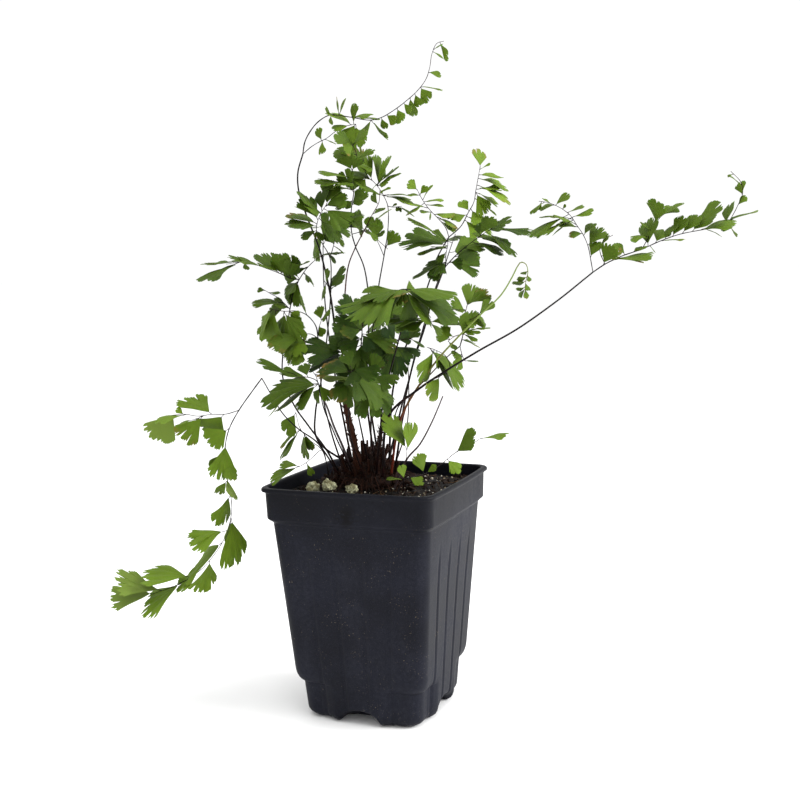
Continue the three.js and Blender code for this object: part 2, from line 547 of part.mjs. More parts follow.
    branches: [
      {
        line: [[-7.3, -7, 229.1], [-9, -8, 235.8], [-9.3, -8, 243.4], [-8.5, -9, 249.9], [-7.4, -9, 256.4],
          [-8, -10, 264.8], [-5.4, -10, 271.7], [-7.6, -10, 278.3]],
        leaves: [[0.41, 5.9, 0.7, 7, 26], [0.45, -8, 0.4, -2, 26], [0.53, -5.3, -1.3, 9.3, 30],
          [0.55, -13.4, 2.5, 2.5, 14], [0.62, -15.9, -3.4, 1.1, 10], [0.66, -13.5, -4.3, 4.8, 14],
          [0.73, -4.6, -1.6, 8.4, 30], [0.79, 7.9, 4.3, -1.7, 26], [0.85, 8.1, 2.3, 3.7, 20],
          [0.88, -9.8, 1.6, 3.5, 26], [0.97, -6.8, -4.2, 5.7, 28], [0.98, 5.6, -3.3, 6.4, 22]],
      },
      {
        line: [[-9, -8, 235.8], [-5.2, -7, 236.7], [-0.4, -6, 238]],
        leaves: [[0.56, -4.7, -1.2, 4.5, 14], [0.9, 4.1, 0.8, -5.1, 22]],
      },
    ],
  },
  {
    name: 'upper_left',
    face: [-0.2, -0.8, 0.6],
    stipe: [[-11.6, -3, 121.7], [-29, -5, 136.1], [-29.3, -7, 150.3], [-26.4, -8, 163.6], [-23.3, -9, 180.6],
      [-21.3, -9, 196], [-19.9, -9, 209.4]],
    branches: [
      {
        line: [[-19.9, -9, 209.4], [-19.8, -10, 224.7], [-23.4, -10, 231.9], [-25.6, -10, 235.7],
          [-25.3, -12, 240.8], [-23.1, -14, 245.8], [-20.1, -15, 249.9]],
        leaves: [[0.68, -6.8, -2.1, -2.7, 24], [0.68, 3.5, -0.4, -4.4, 30], [0.73, -12.9, -6.7, 2, 18],
          [0.75, -12, 3.4, 7, 16], [0.8, -5.3, -0.6, 11.1, 26], [0.83, 9.6, -1.3, -10.9, 24],
          [0.88, -9.3, -3.2, 9.3, 14], [0.91, -1, 2.7, 9.7, 26], [0.94, 11.4, -5.2, -6.8, 32],
          [0.97, 9.3, -1, 4.3, 34], [0.97, 4.7, 4.8, 11.5, 30]],
      },
      {
        line: [[-19.8, -10, 224.7], [-18.3, -9, 229.4], [-16.7, -8, 235], [-15.6, -8, 239.7]],
        leaves: [[0.39, 4.8, 2.4, -2.6, 14], [0.44, -4.5, -1.7, 4.8, 24], [0.7, 4, 2.3, -4.8, 22],
          [0.88, -5.8, 2, 4, 34], [0.94, 9.2, 4.2, 2.8, 24], [1, 8.8, 1, 7.4, 22]],
      },
      {
        line: [[-19.9, -9, 209.4], [-21.3, -8, 211.3], [-23.2, -8, 214.3]],
        leaves: [[0.07, 5.5, 3.1, 3.8, 7], [0.19, 6.9, -4.3, 8.1, 20], [0.58, -0.1, -1.9, 6.9, 14],
          [0.69, -2.5, -3.2, -6.9, 16]],
      },
    ],
  },
  {
    name: 'fiddlehead',
    face: [0.3, -1, 0],
    green: true,
    stipe: [[6.4, -9, 118.7], [12.1, -13, 147], [25.6, -16, 169.2], [38.7, -18, 184.4], [50.7, -19, 195.9],
      [60.3, -20, 204.7], [65.6, -20, 212.5], [68.5, -20, 218]],
    branches: [
      {
        line: [[68.5, -20, 218], [70.4, -20, 220.3], [72.7, -20, 219.3], [73.6, -20, 215.6],
          [72.6, -20, 211.4], [72.1, -20, 207.6]],
        leaves: [[0.51, -2.6, 1.6, -1.8, 24], [0.62, 1.1, 0, -2.9, 30], [0.67, -4.2, 0.6, -1.8, 24],
          [0.78, -5, 1.9, -2.3, 20], [0.84, 1.4, -0.9, -3.3, 24], [0.94, -3.8, 0.7, -1.8, 20],
          [1, 0.8, -0.7, -4.2, 30], [1, -2.9, -0.3, -3.6, 16]],
      },
    ],
  },
  {
    name: 'right_middle',
    face: [0.3, -0.9, 0.3],
    stipe: [[8.4, 3, 118.7], [16.3, 4, 153.6], [27.1, 5, 165.8], [36.3, 6, 174.9], [42.4, 6, 179.7]],
    branches: [
      {
        line: [[42.4, 6, 179.7], [44, 6, 185.7], [44, 5, 191.7], [45.6, 4, 197.6], [47.1, 4, 202.5]],
        leaves: [[0.14, 8.8, -3.1, -2.6, 7], [0.18, 3.9, -2.7, 12.3, 32], [0.26, 7.1, -3.2, -2, 14],
          [0.31, 12, 2.1, 2.5, 8], [0.43, -10.6, 4.3, 4.1, 14], [0.57, 10.5, 3, 0.4, 26],
          [0.74, -5.3, -4.2, 7, 24], [0.78, -8.2, 3.4, 2, 14], [0.83, 3.6, 4.2, 10.6, 30],
          [0.91, 9, -1.7, 6.1, 24]],
      },
      {
        line: [[42.4, 6, 179.7], [43.2, 5, 175.8], [44.6, 5, 172.3]],
        leaves: [[0.52, -2.7, -1.9, -7.2, 26], [0.72, -5.6, -3, 2.8, 24], [0.98, 6.7, 2.3, -0.5, 8]],
      },
      {
        line: [[44, 6, 185.7], [39.9, 5, 184.8], [36.4, 4, 182.5]],
        leaves: [[0.58, -3.8, 1.5, 1.8, 24], [0.87, -4, 3.6, 7.2, 30], [1, 3.7, -1.9, -3.9, 24]],
      },
      {
        line: [[44, 5, 191.7], [49.4, 4, 193.5], [52.4, 3, 196]],
        leaves: [[0.71, 5.1, 2.2, -2.3, 22], [0.85, 6.8, -2.7, 5.8, 24]],
      },
    ],
  },
  {
    name: 'right_low',
    face: [0.3, -0.9, 0.2],
    stipe: [[7.4, -4, 117.7], [10.8, -8, 151.3], [19.7, -11, 159.7], [26.5, -13, 165.1]],
    branches: [
      {
        line: [[26.5, -13, 165.1], [31.4, -14, 167], [36.2, -14, 170.7], [34.4, -14, 176.5],
          [29.7, -14, 179.5], [25.4, -14, 181.1]],
        leaves: [[0.19, -5.7, -4.8, -9.5, 28], [0.82, 1.2, -2.9, -8.2, 14], [0.87, -6.3, -7, -14.4, 17],
          [0.94, 12.5, 6.6, -17.4, 13], [0.98, 18.2, 5.3, -14.8, 12]],
      },
    ],
  },
  {
    name: 'right_long',
    face: [-0.1, -0.9, 0.5],
    stipe: [[2.4, -14, 118.7], [6.4, -18, 148.8], [21.5, -20, 162.1], [36, -20, 171.2], [51.3, -20, 179.9],
      [69.5, -20, 189.8], [87.9, -18, 202], [104.7, -17, 214.7]],
    branches: [
      {
        line: [[104.7, -17, 214.7], [110.4, -17, 218.3], [118.4, -17, 221.9], [127.9, -17, 224.9],
          [136.4, -17, 228.4], [145.8, -17, 231.4], [155, -18, 233], [163, -18, 234.2],
          [168.1, -18, 236.4], [170.9, -18, 240.5], [173.2, -18, 245.1], [175, -18, 249.6],
          [174.1, -18, 254.7], [169.3, -18, 259.9]],
        leaves: [[0.06, 3.3, -4.4, 9.1, 32, 0.05], [0.11, 17.2, -3.1, 2.9, 9], [0.14, 11.3, -2.7, -0.3, 12],
          [0.18, -3.5, 1.6, 5.6, 26], [0.22, 5.6, 1.9, 2.9, 22], [0.3, 0.9, 4.8, 13.1, 20],
          [0.31, 2.5, -1.4, -3.2, 12], [0.34, 6, 4.8, 7.4, 28], [0.37, 10.5, -2.4, 1, 7],
          [0.39, 4.3, 2.6, 7.2, 20], [0.43, 5.1, -0.8, 9, 26], [0.48, 6, -2.9, 8.8, 20],
          [0.53, 8.7, -7.4, 11.2, 19], [0.57, 13.1, -4.9, 5, 16], [0.6, 7.3, 2.6, -2.4, 10],
          [0.7, 1.9, 2.9, 9.9, 13], [0.71, 4.2, 0.3, -6, 14], [0.71, -2.7, -0.7, -3.9, 20, 0.07],
          [0.72, 10.6, 5.3, 5.6, 12], [0.81, 3.6, -0.1, 4, 24], [0.86, -0.8, 3, 6.4, 26],
          [0.91, -5, 3.7, 5.1, 12], [0.98, -2.6, 0.9, -0.7, 14]],
      },
      {
        line: [[104.7, -17, 214.7], [104, -16, 219.9], [102.8, -15, 227], [100.6, -14, 232.7],
          [97.9, -13, 237], [95.3, -12, 241.4], [92, -12, 244.3], [87.9, -11, 246.8],
          [83.6, -11, 248.3], [80.4, -10, 248.9]],
        leaves: [[0.15, 3.1, -0.1, 7.9, 28], [0.28, 7.3, 2.9, 7.4, 22], [0.39, 4.4, 2.2, 6.1, 16],
          [0.41, -6.2, -0.4, 0.5, 26], [0.49, -8.4, 2.6, 2.8, 18], [0.52, -9.7, -2.8, 5.7, 14],
          [0.58, -9.8, 3.2, -5, 7], [0.59, -13.5, 6.7, 4, 12], [0.61, -15.8, -4.6, -6.7, 7],
          [0.61, 8, -3.8, 2.9, 8], [0.66, -18.1, 0.2, -9, 6], [0.68, 7.7, 0.6, 3.2, 9],
          [0.74, 1.1, -1.4, 2.1, 14], [0.82, 4.5, -2.4, 5.5, 22], [0.83, -6.2, 3.5, -0.2, 24],
          [0.88, -3, 1.8, 2.6, 20], [0.94, -6.7, -3.6, -3.9, 6], [0.97, -2.3, -2, -4.1, 9]],
      },
      {
        line: [[127.9, -17, 224.9], [131.9, -16, 231.4], [135.4, -15, 237.4], [138.5, -14, 241.1]],
        leaves: [[0.36, -8, 1, -0.1, 16], [0.5, -3.6, 3.2, 4.4, 22], [0.73, -1.5, -5.2, 9.3, 17],
          [0.93, 9.1, -2.8, 6.7, 9], [0.96, 7.4, 3.5, 4.7, 26]],
      },
      {
        line: [[110.4, -17, 218.3], [108.4, -15, 225], [110.5, -14, 229.6], [115, -13, 231.9]],
        leaves: [[0.24, 8, -4.1, 1.7, 28], [0.52, 3.2, -1.7, 5.5, 10]],
      },
    ],
  },
  {
    name: 'back_right',
    face: [0.3, 0.5, 0.8],
    stipe: [[4.4, 11, 118.7], [16.4, 26, 160.7], [28.4, 37, 197.7], [36.4, 43, 216.7]],
    branches: [
      {
        line: [[36.4, 43, 216.7], [40.4, 50, 227.7], [43.4, 58, 234.7], [44.4, 67, 236.7]],
        leaves: [[0.15, 15.9, -2, 1.3, 36, 0.1], [0.36, 16, 6, 2.1, 42, 0.1], [0.57, -14.7, 7.5, 5.2, 30, 0.1],
          [0.79, 13.1, 3.4, -8.8, 44, 0.1], [1, -0.3, 13.2, -3.9, 38, 0.1]],
      },
    ],
  },
  {
    name: 'back_left',
    face: [-0.3, 0.5, 0.8],
    stipe: [[-12.6, 10, 118.7], [-20.6, 25, 160.7], [-25.6, 36, 200.7], [-26.6, 43, 221.7]],
    branches: [
      {
        line: [[-26.6, 43, 221.7], [-26.6, 50, 233.7], [-26.6, 58, 240.7], [-27.6, 67, 242.7]],
        leaves: [[0.15, 1.4, 15.9, 2.2, 36, 0.1], [0.36, 5.5, -12.2, 10.9, 42, 0.1],
          [0.57, -7.9, 11.3, -10.3, 30, 0.1], [0.79, 12.1, 8.2, 3.1, 44, 0.1],
          [1, -1.8, 13.7, 0.6, 38, 0.1]],
      },
    ],
  },
  {
    name: 'back_low',
    face: [0, 0.5, 0.8],
    stipe: [[-3.6, 14, 117.7], [-3.6, 31, 148.7], [-2.6, 45, 172.7], [-0.6, 54, 186.7]],
    branches: [
      {
        line: [[-0.6, 54, 186.7], [0.4, 61, 193.7], [0.4, 70, 196.7], [1.4, 79, 194.7]],
        leaves: [[0.15, -13.5, 14.1, 1.5, 36, 0.1], [0.36, 20, 5.3, 0.5, 42, 0.1],
          [0.57, -18.5, 5.5, -7.4, 30, 0.1], [0.79, 16.6, 5.6, -5.6, 44, 0.1],
          [1, 1.7, 13.2, -9, 38, 0.1]],
      },
    ],
  },
];

// Small fronds that are one wiry piece from soil to tip.
const sprigs = [
  {
    name: 'heart_sprig',
    face: [0.1, -1, 0.1],
    branches: [
      {
        line: [[12.1, -20, 111.5], [13.3, -21, 122.9], [14.5, -22, 132.7]],
        leaves: [[1, -7.1, 0.5, 17, 20], [1, 3.2, 1.4, 12.8, 22]],
      },
    ],
  },
  {
    name: 'creeping_sprig',
    face: [0.1, -0.7, 0.7],
    branches: [
      {
        line: [[8.7, -29, 112], [12.7, -26, 119], [22.4, -20, 120.5], [30.4, -14, 123.6], [38, -9, 128.5],
          [45.6, -7, 131.9], [51.1, -6, 135.1]],
        leaves: [[0.16, -7.6, 2, 0.8, 6], [0.16, -1.3, 1.1, 6.5, 26], [0.21, 6.2, -1.2, -2.6, 28],
          [0.36, -2.2, 0.8, 9.2, 30], [0.39, 4.5, -0.7, 3.3, 26], [0.64, 5.4, -1, -6, 34],
          [0.74, 9.4, -3.5, 8.5, 28], [1, 12.1, -2.2, 2, 9]],
      },
    ],
  },
  {
    name: 'left_sprig',
    face: [-0.2, -1, 0.1],
    branches: [
      {
        line: [[-24.6, 12, 112.7], [-28.5, 13, 128.2], [-34.6, 15, 133.2], [-39.5, 16, 139.4],
          [-41.4, 17, 147.5]],
        leaves: [[0.7, 2.7, 0.6, -8.5, 30], [0.7, -1.5, -0.2, -11.4, 16], [0.78, -10.3, -1.1, -13.7, 12, 0.05],
          [0.78, -10.4, 1.7, -7.9, 8, 0.07], [1, -6.1, -3.2, -9.2, 34]],
      },
    ],
  },
  {
    name: 'rim_sprig',
    face: [-0.1, -1, 0.3],
    branches: [
      {
        line: [[-23.6, -8, 110.7], [-26.9, -9, 131.7], [-31.9, -10, 128.1], [-35.8, -11, 125.4],
          [-38.8, -11, 124]],
        leaves: [[0.87, 2.6, -0.2, -5.8, 20], [0.97, -14.7, -0.8, -4.9, 10], [0.98, -9, 1.3, 2.1, 16]],
      },
    ],
  },
];

// Old stipes that have lost their leaves, and the scaly stumps of still older ones: line and radius.
const bareStems = [
  {
    name: 'bare_stem_right',
    radius: 0.5,
    line: [
      [8, -14.5, 113], [14.4, -17, 127.5], [20.8, -20, 135.1], [26.3, -21, 144.8], [29.8, -22, 152.5],
      [32.2, -23, 158.3],
    ],
  },
  {
    name: 'bare_stem_left',
    radius: 0.6,
    line: [[-11.5, -6, 113], [-15.8, -7, 130.1], [-20.7, -9, 143.4], [-24.1, -11, 154.5], [-27.2, -12, 160.1]],
  },
  {
    name: 'bare_stem_back',
    radius: 0.5,
    line: [[5, 11, 113], [10.1, 13, 124], [15.1, 16, 139.4], [16.5, 18, 156.1], [16.4, 19, 170.4]],
  },
  {
    name: 'stump_tall',
    radius: 1.9,
    line: [[-9.6, -6.5, 114], [-10, -8, 127.1], [-11.6, -9, 137.2], [-13.3, -9, 146.2], [-14.9, -10, 155.6]],
  },
  {
    name: 'stump_short',
    radius: 1.2,
    line: [[-0.6, -8, 114], [0.4, -9, 129], [2.1, -9, 139.8], [3.9, -10, 149.3]],
  },
];

// Lumps of perlite lying on the mix: middle (across, back) and size.
const perlite = [
  { at: [-31.5, -14], size: 3.2 },
  { at: [-23.6, -16], size: 3.4 },
  { at: [-12.5, -20], size: 3 },
];

// Where each leaflet of a branch sits: its foot, its way, its upper side, its length and half its spread.
// It is turned about its length until, from the front, it looks as wide as its branch lists it.
function leafPlaces(branch, face) {
  const path = stemPath(branch.line, twigStep);
  const corners = path.getSpacedPoints(path.points.length - 1);
  return branch.leaves.map(([along, x, y, z, listed, stalk = 0.05]) => {
    const at = Math.min(along, 0.995) * (corners.length - 1);
    const foot = corners[Math.floor(at)].clone().lerp(corners[Math.ceil(at)], at % 1);
    const out = vec([x, y, z]);
    const size = out.length();
    out.normalize();
    const seen = Math.abs(listed);
    const spread = THREE.MathUtils.degToRad(Math.max(Math.min(widest, 2 * seen + 12), seen + 3));
    const turn = Math.acos(Math.tan(THREE.MathUtils.degToRad(seen)) / Math.tan(spread));
    const front = new THREE.Vector3(0, -1, 0.12);
    front.addScaledVector(out, -front.dot(out)).normalize();
    const side = new THREE.Vector3().crossVectors(out, front);
    const way = side.dot(vec(face)) > 0 ? 1 : -1;
    const normal = front.multiplyScalar(Math.cos(turn)).addScaledVector(side, way * Math.sin(turn));
    if (listed < 0) normal.negate();
    return { foot, out, normal, size, spread, stalk };
  });
}

// A leaflet as a plain wedge-shaped plate that starts inside its twig. grow makes a clearance copy.
function leafSolid({ foot, out, normal, size, spread, stalk }, scale, grow) {
  const reach = size * scale;
  const bare = reach * stalk;
  const edge = bare + (reach - bare) * 0.95 * Math.cos(spread) + grow;
  const half = (reach - bare) * Math.sin(spread);
  const fan = new THREE.Shape();
  fan.moveTo(-heel - grow, 0);
  fan.lineTo(edge, -half - grow);
  fan.lineTo(edge, half + grow);
  const plate = new THREE.ExtrudeGeometry(fan, { depth: leafThickness + 2 * grow, bevelEnabled: false });
  plate.translate(0, 0, -leafThickness / 2 - grow);
  const wide = new THREE.Vector3().crossVectors(normal, out);
  return toSolid(plate.applyMatrix4(new THREE.Matrix4().makeBasis(out, wide, normal).setPosition(foot)));
}

// The twigs of a blade: the first carries on from the stipe, and each other starts at a small knot.
function twigs(branches, grow) {
  return branches.map((branch, b) => {
    const twig = stem(stemPath(branch.line, twigStep), branchRadius + grow, 3);
    if (b === 0) return twig;
    const knot = new THREE.OctahedronGeometry(knotRadius + grow, 0).translate(...branch.line[0]);
    return twig.add(toSolid(knot));
  });
}

function touches(a, b) {
  const one = a.boundingBox();
  const two = b.boundingBox();
  if (one.min.some((low, i) => low > two.max[i] || two.min[i] > one.max[i])) return false;
  return a.intersect(b).volume() > 1e-4;
}

// The blade of each frond: its branches and every leaflet that stays clear of the other fronds.
// A leaflet in the way is made smaller, and left out where even the smallest copy would touch.
function makeBlades(plants, fixed) {
  const boneRoom = plants.map((plant) => wasm.Manifold.union(twigs(plant.branches, clearGap)));
  const leafRoom = plants.map(() => []);
  return plants.map((plant, p) => {
    const parts = twigs(plant.branches, 0);
    for (const branch of plant.branches) {
      for (const place of leafPlaces(branch, plant.face)) {
        for (const scale of [1, 0.75, 0.5]) {
          const room = leafSolid(place, scale, clearGap);
          const others = [...fixed, ...boneRoom.filter((_, k) => k !== p)];
          const leaves = leafRoom.filter((_, k) => k !== p).flat();
          if ([...others, ...leaves].some((solid) => touches(room, solid))) continue;
          parts.push(leafSolid(place, scale, 0));
          leafRoom[p].push(room);
          break;
        }
      }
    }
    return wasm.Manifold.union(parts);
  });
}

// ---------------------------------------------------------------- assembly
const turnDegrees = THREE.MathUtils.radToDeg(fernTurn);
const potSolid = makePot();
const crownRoom = makeCrown(clearGap);
const soilSolid = makeSoil(crownRoom.rotate([0, 0, turnDegrees]));

// In the fern's own frame: the pot as it is, and the ground that stems are cut off at.
const potAround = potSolid.rotate([0, 0, -turnDegrees]);
const ground = soilSolid.rotate([0, 0, -turnDegrees]).translate([0, 0, clearGap]).add(crownRoom);

const stipes = fronds.map((frond) => {
  return stem(stemPath(frond.stipe, 14, clearGap + knotRadius), stipeRadius, 4).subtract(ground);
});
const bare = bareStems.map(({ line, radius }) => stem(stemPath(line, 9), radius, 5).subtract(ground));
const plants = [...fronds, ...sprigs];
const blades = makeBlades(plants, [...stipes, ...bare, potAround, ground]);

const fern = new THREE.Group();
fern.rotation.z = fernTurn;
fern.add(toMesh('crown', makeCrown(0), materials.scaly));
fronds.forEach((frond, i) => {
  fern.add(toMesh(frond.name + '_stipe', stipes[i], frond.green ? materials.green : materials.wiry));
});
plants.forEach((plant, i) => {
  const isFrond = i < fronds.length;
  fern.add(toMesh(plant.name + (isFrond ? '_blade' : ''), blades[i].subtract(ground), materials.green));
});
bareStems.forEach((old, i) => {
  fern.add(toMesh(old.name, bare[i], old.name.startsWith('stump') ? materials.scaly : materials.wiry));
});
perlite.forEach(({ at, size }, i) => {
  const lump = new THREE.Mesh(new THREE.DodecahedronGeometry(size, 0), materials.perlite);
  lump.name = 'perlite_' + (i + 1);
  lump.position.set(...at, soil.edgeHeight + soil.mound + size);
  lump.rotation.set(i, 2 * i, 0);
  fern.add(lump);
});

const group = new THREE.Group();
group.add(toMesh('pot', potSolid, materials.plastic));
group.add(toMesh('potting_mix', soilSolid, materials.mix));
group.add(fern);

export default group;
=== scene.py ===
# A potted maidenhair fern in a square nursery pot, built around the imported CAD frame.
import math
import random
import bpy
import numpy as np
from mathutils import Matrix, Vector, noise


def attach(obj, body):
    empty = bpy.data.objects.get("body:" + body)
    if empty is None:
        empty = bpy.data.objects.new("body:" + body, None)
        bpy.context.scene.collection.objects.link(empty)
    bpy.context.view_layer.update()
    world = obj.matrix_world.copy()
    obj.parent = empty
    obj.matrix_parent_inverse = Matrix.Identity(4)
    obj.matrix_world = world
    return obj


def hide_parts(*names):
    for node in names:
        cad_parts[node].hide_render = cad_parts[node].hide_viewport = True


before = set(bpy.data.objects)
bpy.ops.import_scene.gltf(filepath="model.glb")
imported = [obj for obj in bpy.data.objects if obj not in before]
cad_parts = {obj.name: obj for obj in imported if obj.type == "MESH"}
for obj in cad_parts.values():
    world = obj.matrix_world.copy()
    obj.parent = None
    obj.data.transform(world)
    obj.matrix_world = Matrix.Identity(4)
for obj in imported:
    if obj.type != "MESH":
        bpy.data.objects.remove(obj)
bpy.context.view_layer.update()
mm = 0.001
tiny = 1e-12
print("frame loaded,", len(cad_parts), "CAD nodes")


# curves, tubes and meshes

def unit(v):
    return v / max(np.linalg.norm(v), tiny)


def gaussVector(rng):
    return [rng.gauss(0, 1) for _ in range(3)]


def smoothStep(low, high, x):
    t = np.clip((x - low) / (high - low), 0, 1)
    return t * t * (3 - 2 * t)


def curvePoints(line, step):
    # a smooth curve through the points of a line, in even steps
    finePerSpan = 24
    p = np.array(line, float)
    p = np.vstack([2 * p[0] - p[1], p, 2 * p[-1] - p[-2]])
    dense = []
    for a, b, c, d in zip(p, p[1:], p[2:], p[3:]):
        # knots spaced by the square root of the distance, so that a sharp bend stays tidy
        k1, k2, k3 = np.cumsum([math.sqrt(max(np.linalg.norm(q), 1e-9)) for q in (b - a, c - b, d - c)])
        for t in np.linspace(k1, k2, finePerSpan, endpoint=False):
            ab = (a * (k1 - t) + b * t) / k1
            bc = (b * (k2 - t) + c * (t - k1)) / (k2 - k1)
            cd = (c * (k3 - t) + d * (t - k2)) / (k3 - k2)
            abc = (ab * (k2 - t) + bc * t) / k2
            bcd = (bc * (k3 - t) + cd * (t - k1)) / (k3 - k1)
            dense.append((abc * (k2 - t) + bcd * (t - k1)) / (k2 - k1))
    dense.append(p[-2])
    dense = np.array(dense)
    run = np.concatenate([[0], np.cumsum(np.linalg.norm(np.diff(dense, axis=0), axis=1))])
    wanted = np.linspace(0, run[-1], max(3, int(round(run[-1] / step)) + 1))
    return np.stack([np.interp(wanted, run, dense[:, i]) for i in range(3)], 1), run[-1]


def alongCurve(points, share):
    # the place and direction at a share of an evenly stepped curve
    at = share * (len(points) - 1)
    i = min(int(at), len(points) - 2)
    place = points[i] + (points[i + 1] - points[i]) * (at - i)
    near = points[max(i - 1, 0)]
    return place, unit(points[min(i + 2, len(points) - 1)] - near)


class Heap:
    # gathers many small meshes, with their UVs and values, into one object
    def __init__(self):
        self.points, self.quads, self.tris, self.uvs = [], [], [], []
        self.values = {}
        self.count = 0

    def add(self, points, quads=(), tris=(), uv=None, **values):
        n = len(points)
        self.points.append(np.asarray(points, float))
        if len(quads):
            self.quads.append(np.asarray(quads, int) + self.count)
        if len(tris):
            self.tris.append(np.asarray(tris, int) + self.count)
        self.uvs.append(np.zeros((n, 2)) if uv is None else np.asarray(uv, float))
        for name, value in values.items():
            self.values.setdefault(name, []).append(np.broadcast_to(np.asarray(value, float), (n,)))
        self.count += n

    def build(self, name, material, slot, replaced, sharp=50):
        mesh = bpy.data.meshes.new(name)
        points = np.vstack(self.points) * mm
        quads = np.vstack(self.quads) if self.quads else np.zeros((0, 4), int)
        tris = np.vstack(self.tris) if self.tris else np.zeros((0, 3), int)
        corners = np.concatenate([quads.ravel(), tris.ravel()]).astype(np.int32)
        sizes = np.concatenate([np.full(len(quads), 4), np.full(len(tris), 3)])
        starts = np.concatenate([[0], np.cumsum(sizes)[:-1]]).astype(np.int32)
        mesh.vertices.add(len(points))
        mesh.vertices.foreach_set("co", points.astype(np.float32).ravel())
        mesh.loops.add(len(corners))
        mesh.loops.foreach_set("vertex_index", corners)
        mesh.polygons.add(len(sizes))
        mesh.polygons.foreach_set("loop_start", starts)
        mesh.update(calc_edges=True)
        layer = mesh.uv_layers.new(name="UVMap")
        layer.data.foreach_set("uv", np.vstack(self.uvs)[corners].astype(np.float32).ravel())
        for key, parts in self.values.items():
            attribute = mesh.attributes.new(key, "FLOAT", "POINT")
            attribute.data.foreach_set("value", np.concatenate(parts).astype(np.float32))
        mesh.validate()
        mesh.shade_smooth()
        mesh.set_sharp_from_angle(angle=math.radians(sharp))
        mesh.materials.append(material)
        piece = bpy.data.objects.new(name, mesh)
        bpy.context.scene.collection.objects.link(piece)
        return settle(piece, replaced)


def settle(piece, replaced):
    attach(piece, "root")
    if replaced:
        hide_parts(*replaced)
    return piece


def gridQuads(rows, columns, closed=False):
    # the quads of a grid of points, row by row; closed joins the last column to the first
    r = np.arange(rows - 1)[:, None]
    c = np.arange(columns if closed else columns - 1)[None, :]
    d = (c + 1) % columns
    a = r * columns + c
    b = r * columns + d
    return np.stack([a, b, b + columns, a + columns], -1).reshape(-1, 4)


def skinFaces(rows, columns):
    # the quads of closed rings, and the fans that close them at a first and a last point after the rings
    k = np.arange(columns)
    following = (k + 1) % columns
    first, last = rows * columns, rows * columns + 1
    tris = np.concatenate([
        np.stack([np.full(columns, first), following, k], 1),
        np.stack([np.full(columns, last), (rows - 1) * columns + k, (rows - 1) * columns + following], 1),
    ])
    return gridQuads(rows, columns, closed=True), tris


def addTube(heap, points, radii, sides=8, **values):
    # a closed round tube along points, with a radius for each of them
    n = len(points)
    capReach = 0.7  # how far the pointed ends stand out, in radii
    tangents = np.gradient(points, axis=0)
    tangents /= np.maximum(np.linalg.norm(tangents, axis=1, keepdims=True), tiny)
    normal = unit(np.cross(tangents[0], [0.31, 0.95, 0.1]))
    around = np.arange(sides) / sides * 2 * math.pi
    rings = []
    for i in range(n):
        normal = unit(normal - tangents[i] * np.dot(normal, tangents[i]))
        other = np.cross(tangents[i], normal)
        ring = np.outer(np.cos(around), normal) + np.outer(np.sin(around), other)
        rings.append(points[i] + ring * radii[i])
    tip = points[-1] + tangents[-1] * radii[-1] * capReach
    foot = points[0] - tangents[0] * radii[0] * capReach
    quads, tris = skinFaces(n, sides)
    v = np.repeat(np.linspace(0, 1, n), sides)
    u = np.tile(np.arange(sides) / sides, n)
    uv = np.vstack([np.stack([u, v], 1), [[0, 0], [0, 1]]])
    each = {}
    for name, value in values.items():
        value = np.asarray(value, float)
        each[name] = np.append(np.repeat(value, sides), [value[0], value[-1]]) if value.ndim else value
    heap.add(np.vstack([*rings, foot, tip]), quads, tris, uv, **each)


# materials: sums on sockets are written as Python

class Field:
    # a node's output socket that takes part in sums
    def __init__(self, shader, socket):
        self.shader, self.socket = shader, socket

    def maths(self, operation, *inputs, clamp=False):
        settings = {"operation": operation, "use_clamp": clamp}
        return self.shader.node("ShaderNodeMath", settings, dict(enumerate(inputs)))

    def __add__(self, other):
        return self.maths("ADD", self, other)

    def __sub__(self, other):
        return self.maths("SUBTRACT", self, other)

    def __rsub__(self, other):
        return self.maths("SUBTRACT", other, self)

    def __mul__(self, other):
        return self.maths("MULTIPLY", self, other)

    __radd__ = __add__
    __rmul__ = __mul__

    def step(self, low, high):
        # 0 below low, 1 above high and smooth between them
        settings = {"interpolation_type": "SMOOTHSTEP"}
        inputs = {"Value": self, "From Min": low, "From Max": high}
        return self.shader.node("ShaderNodeMapRange", settings, inputs)


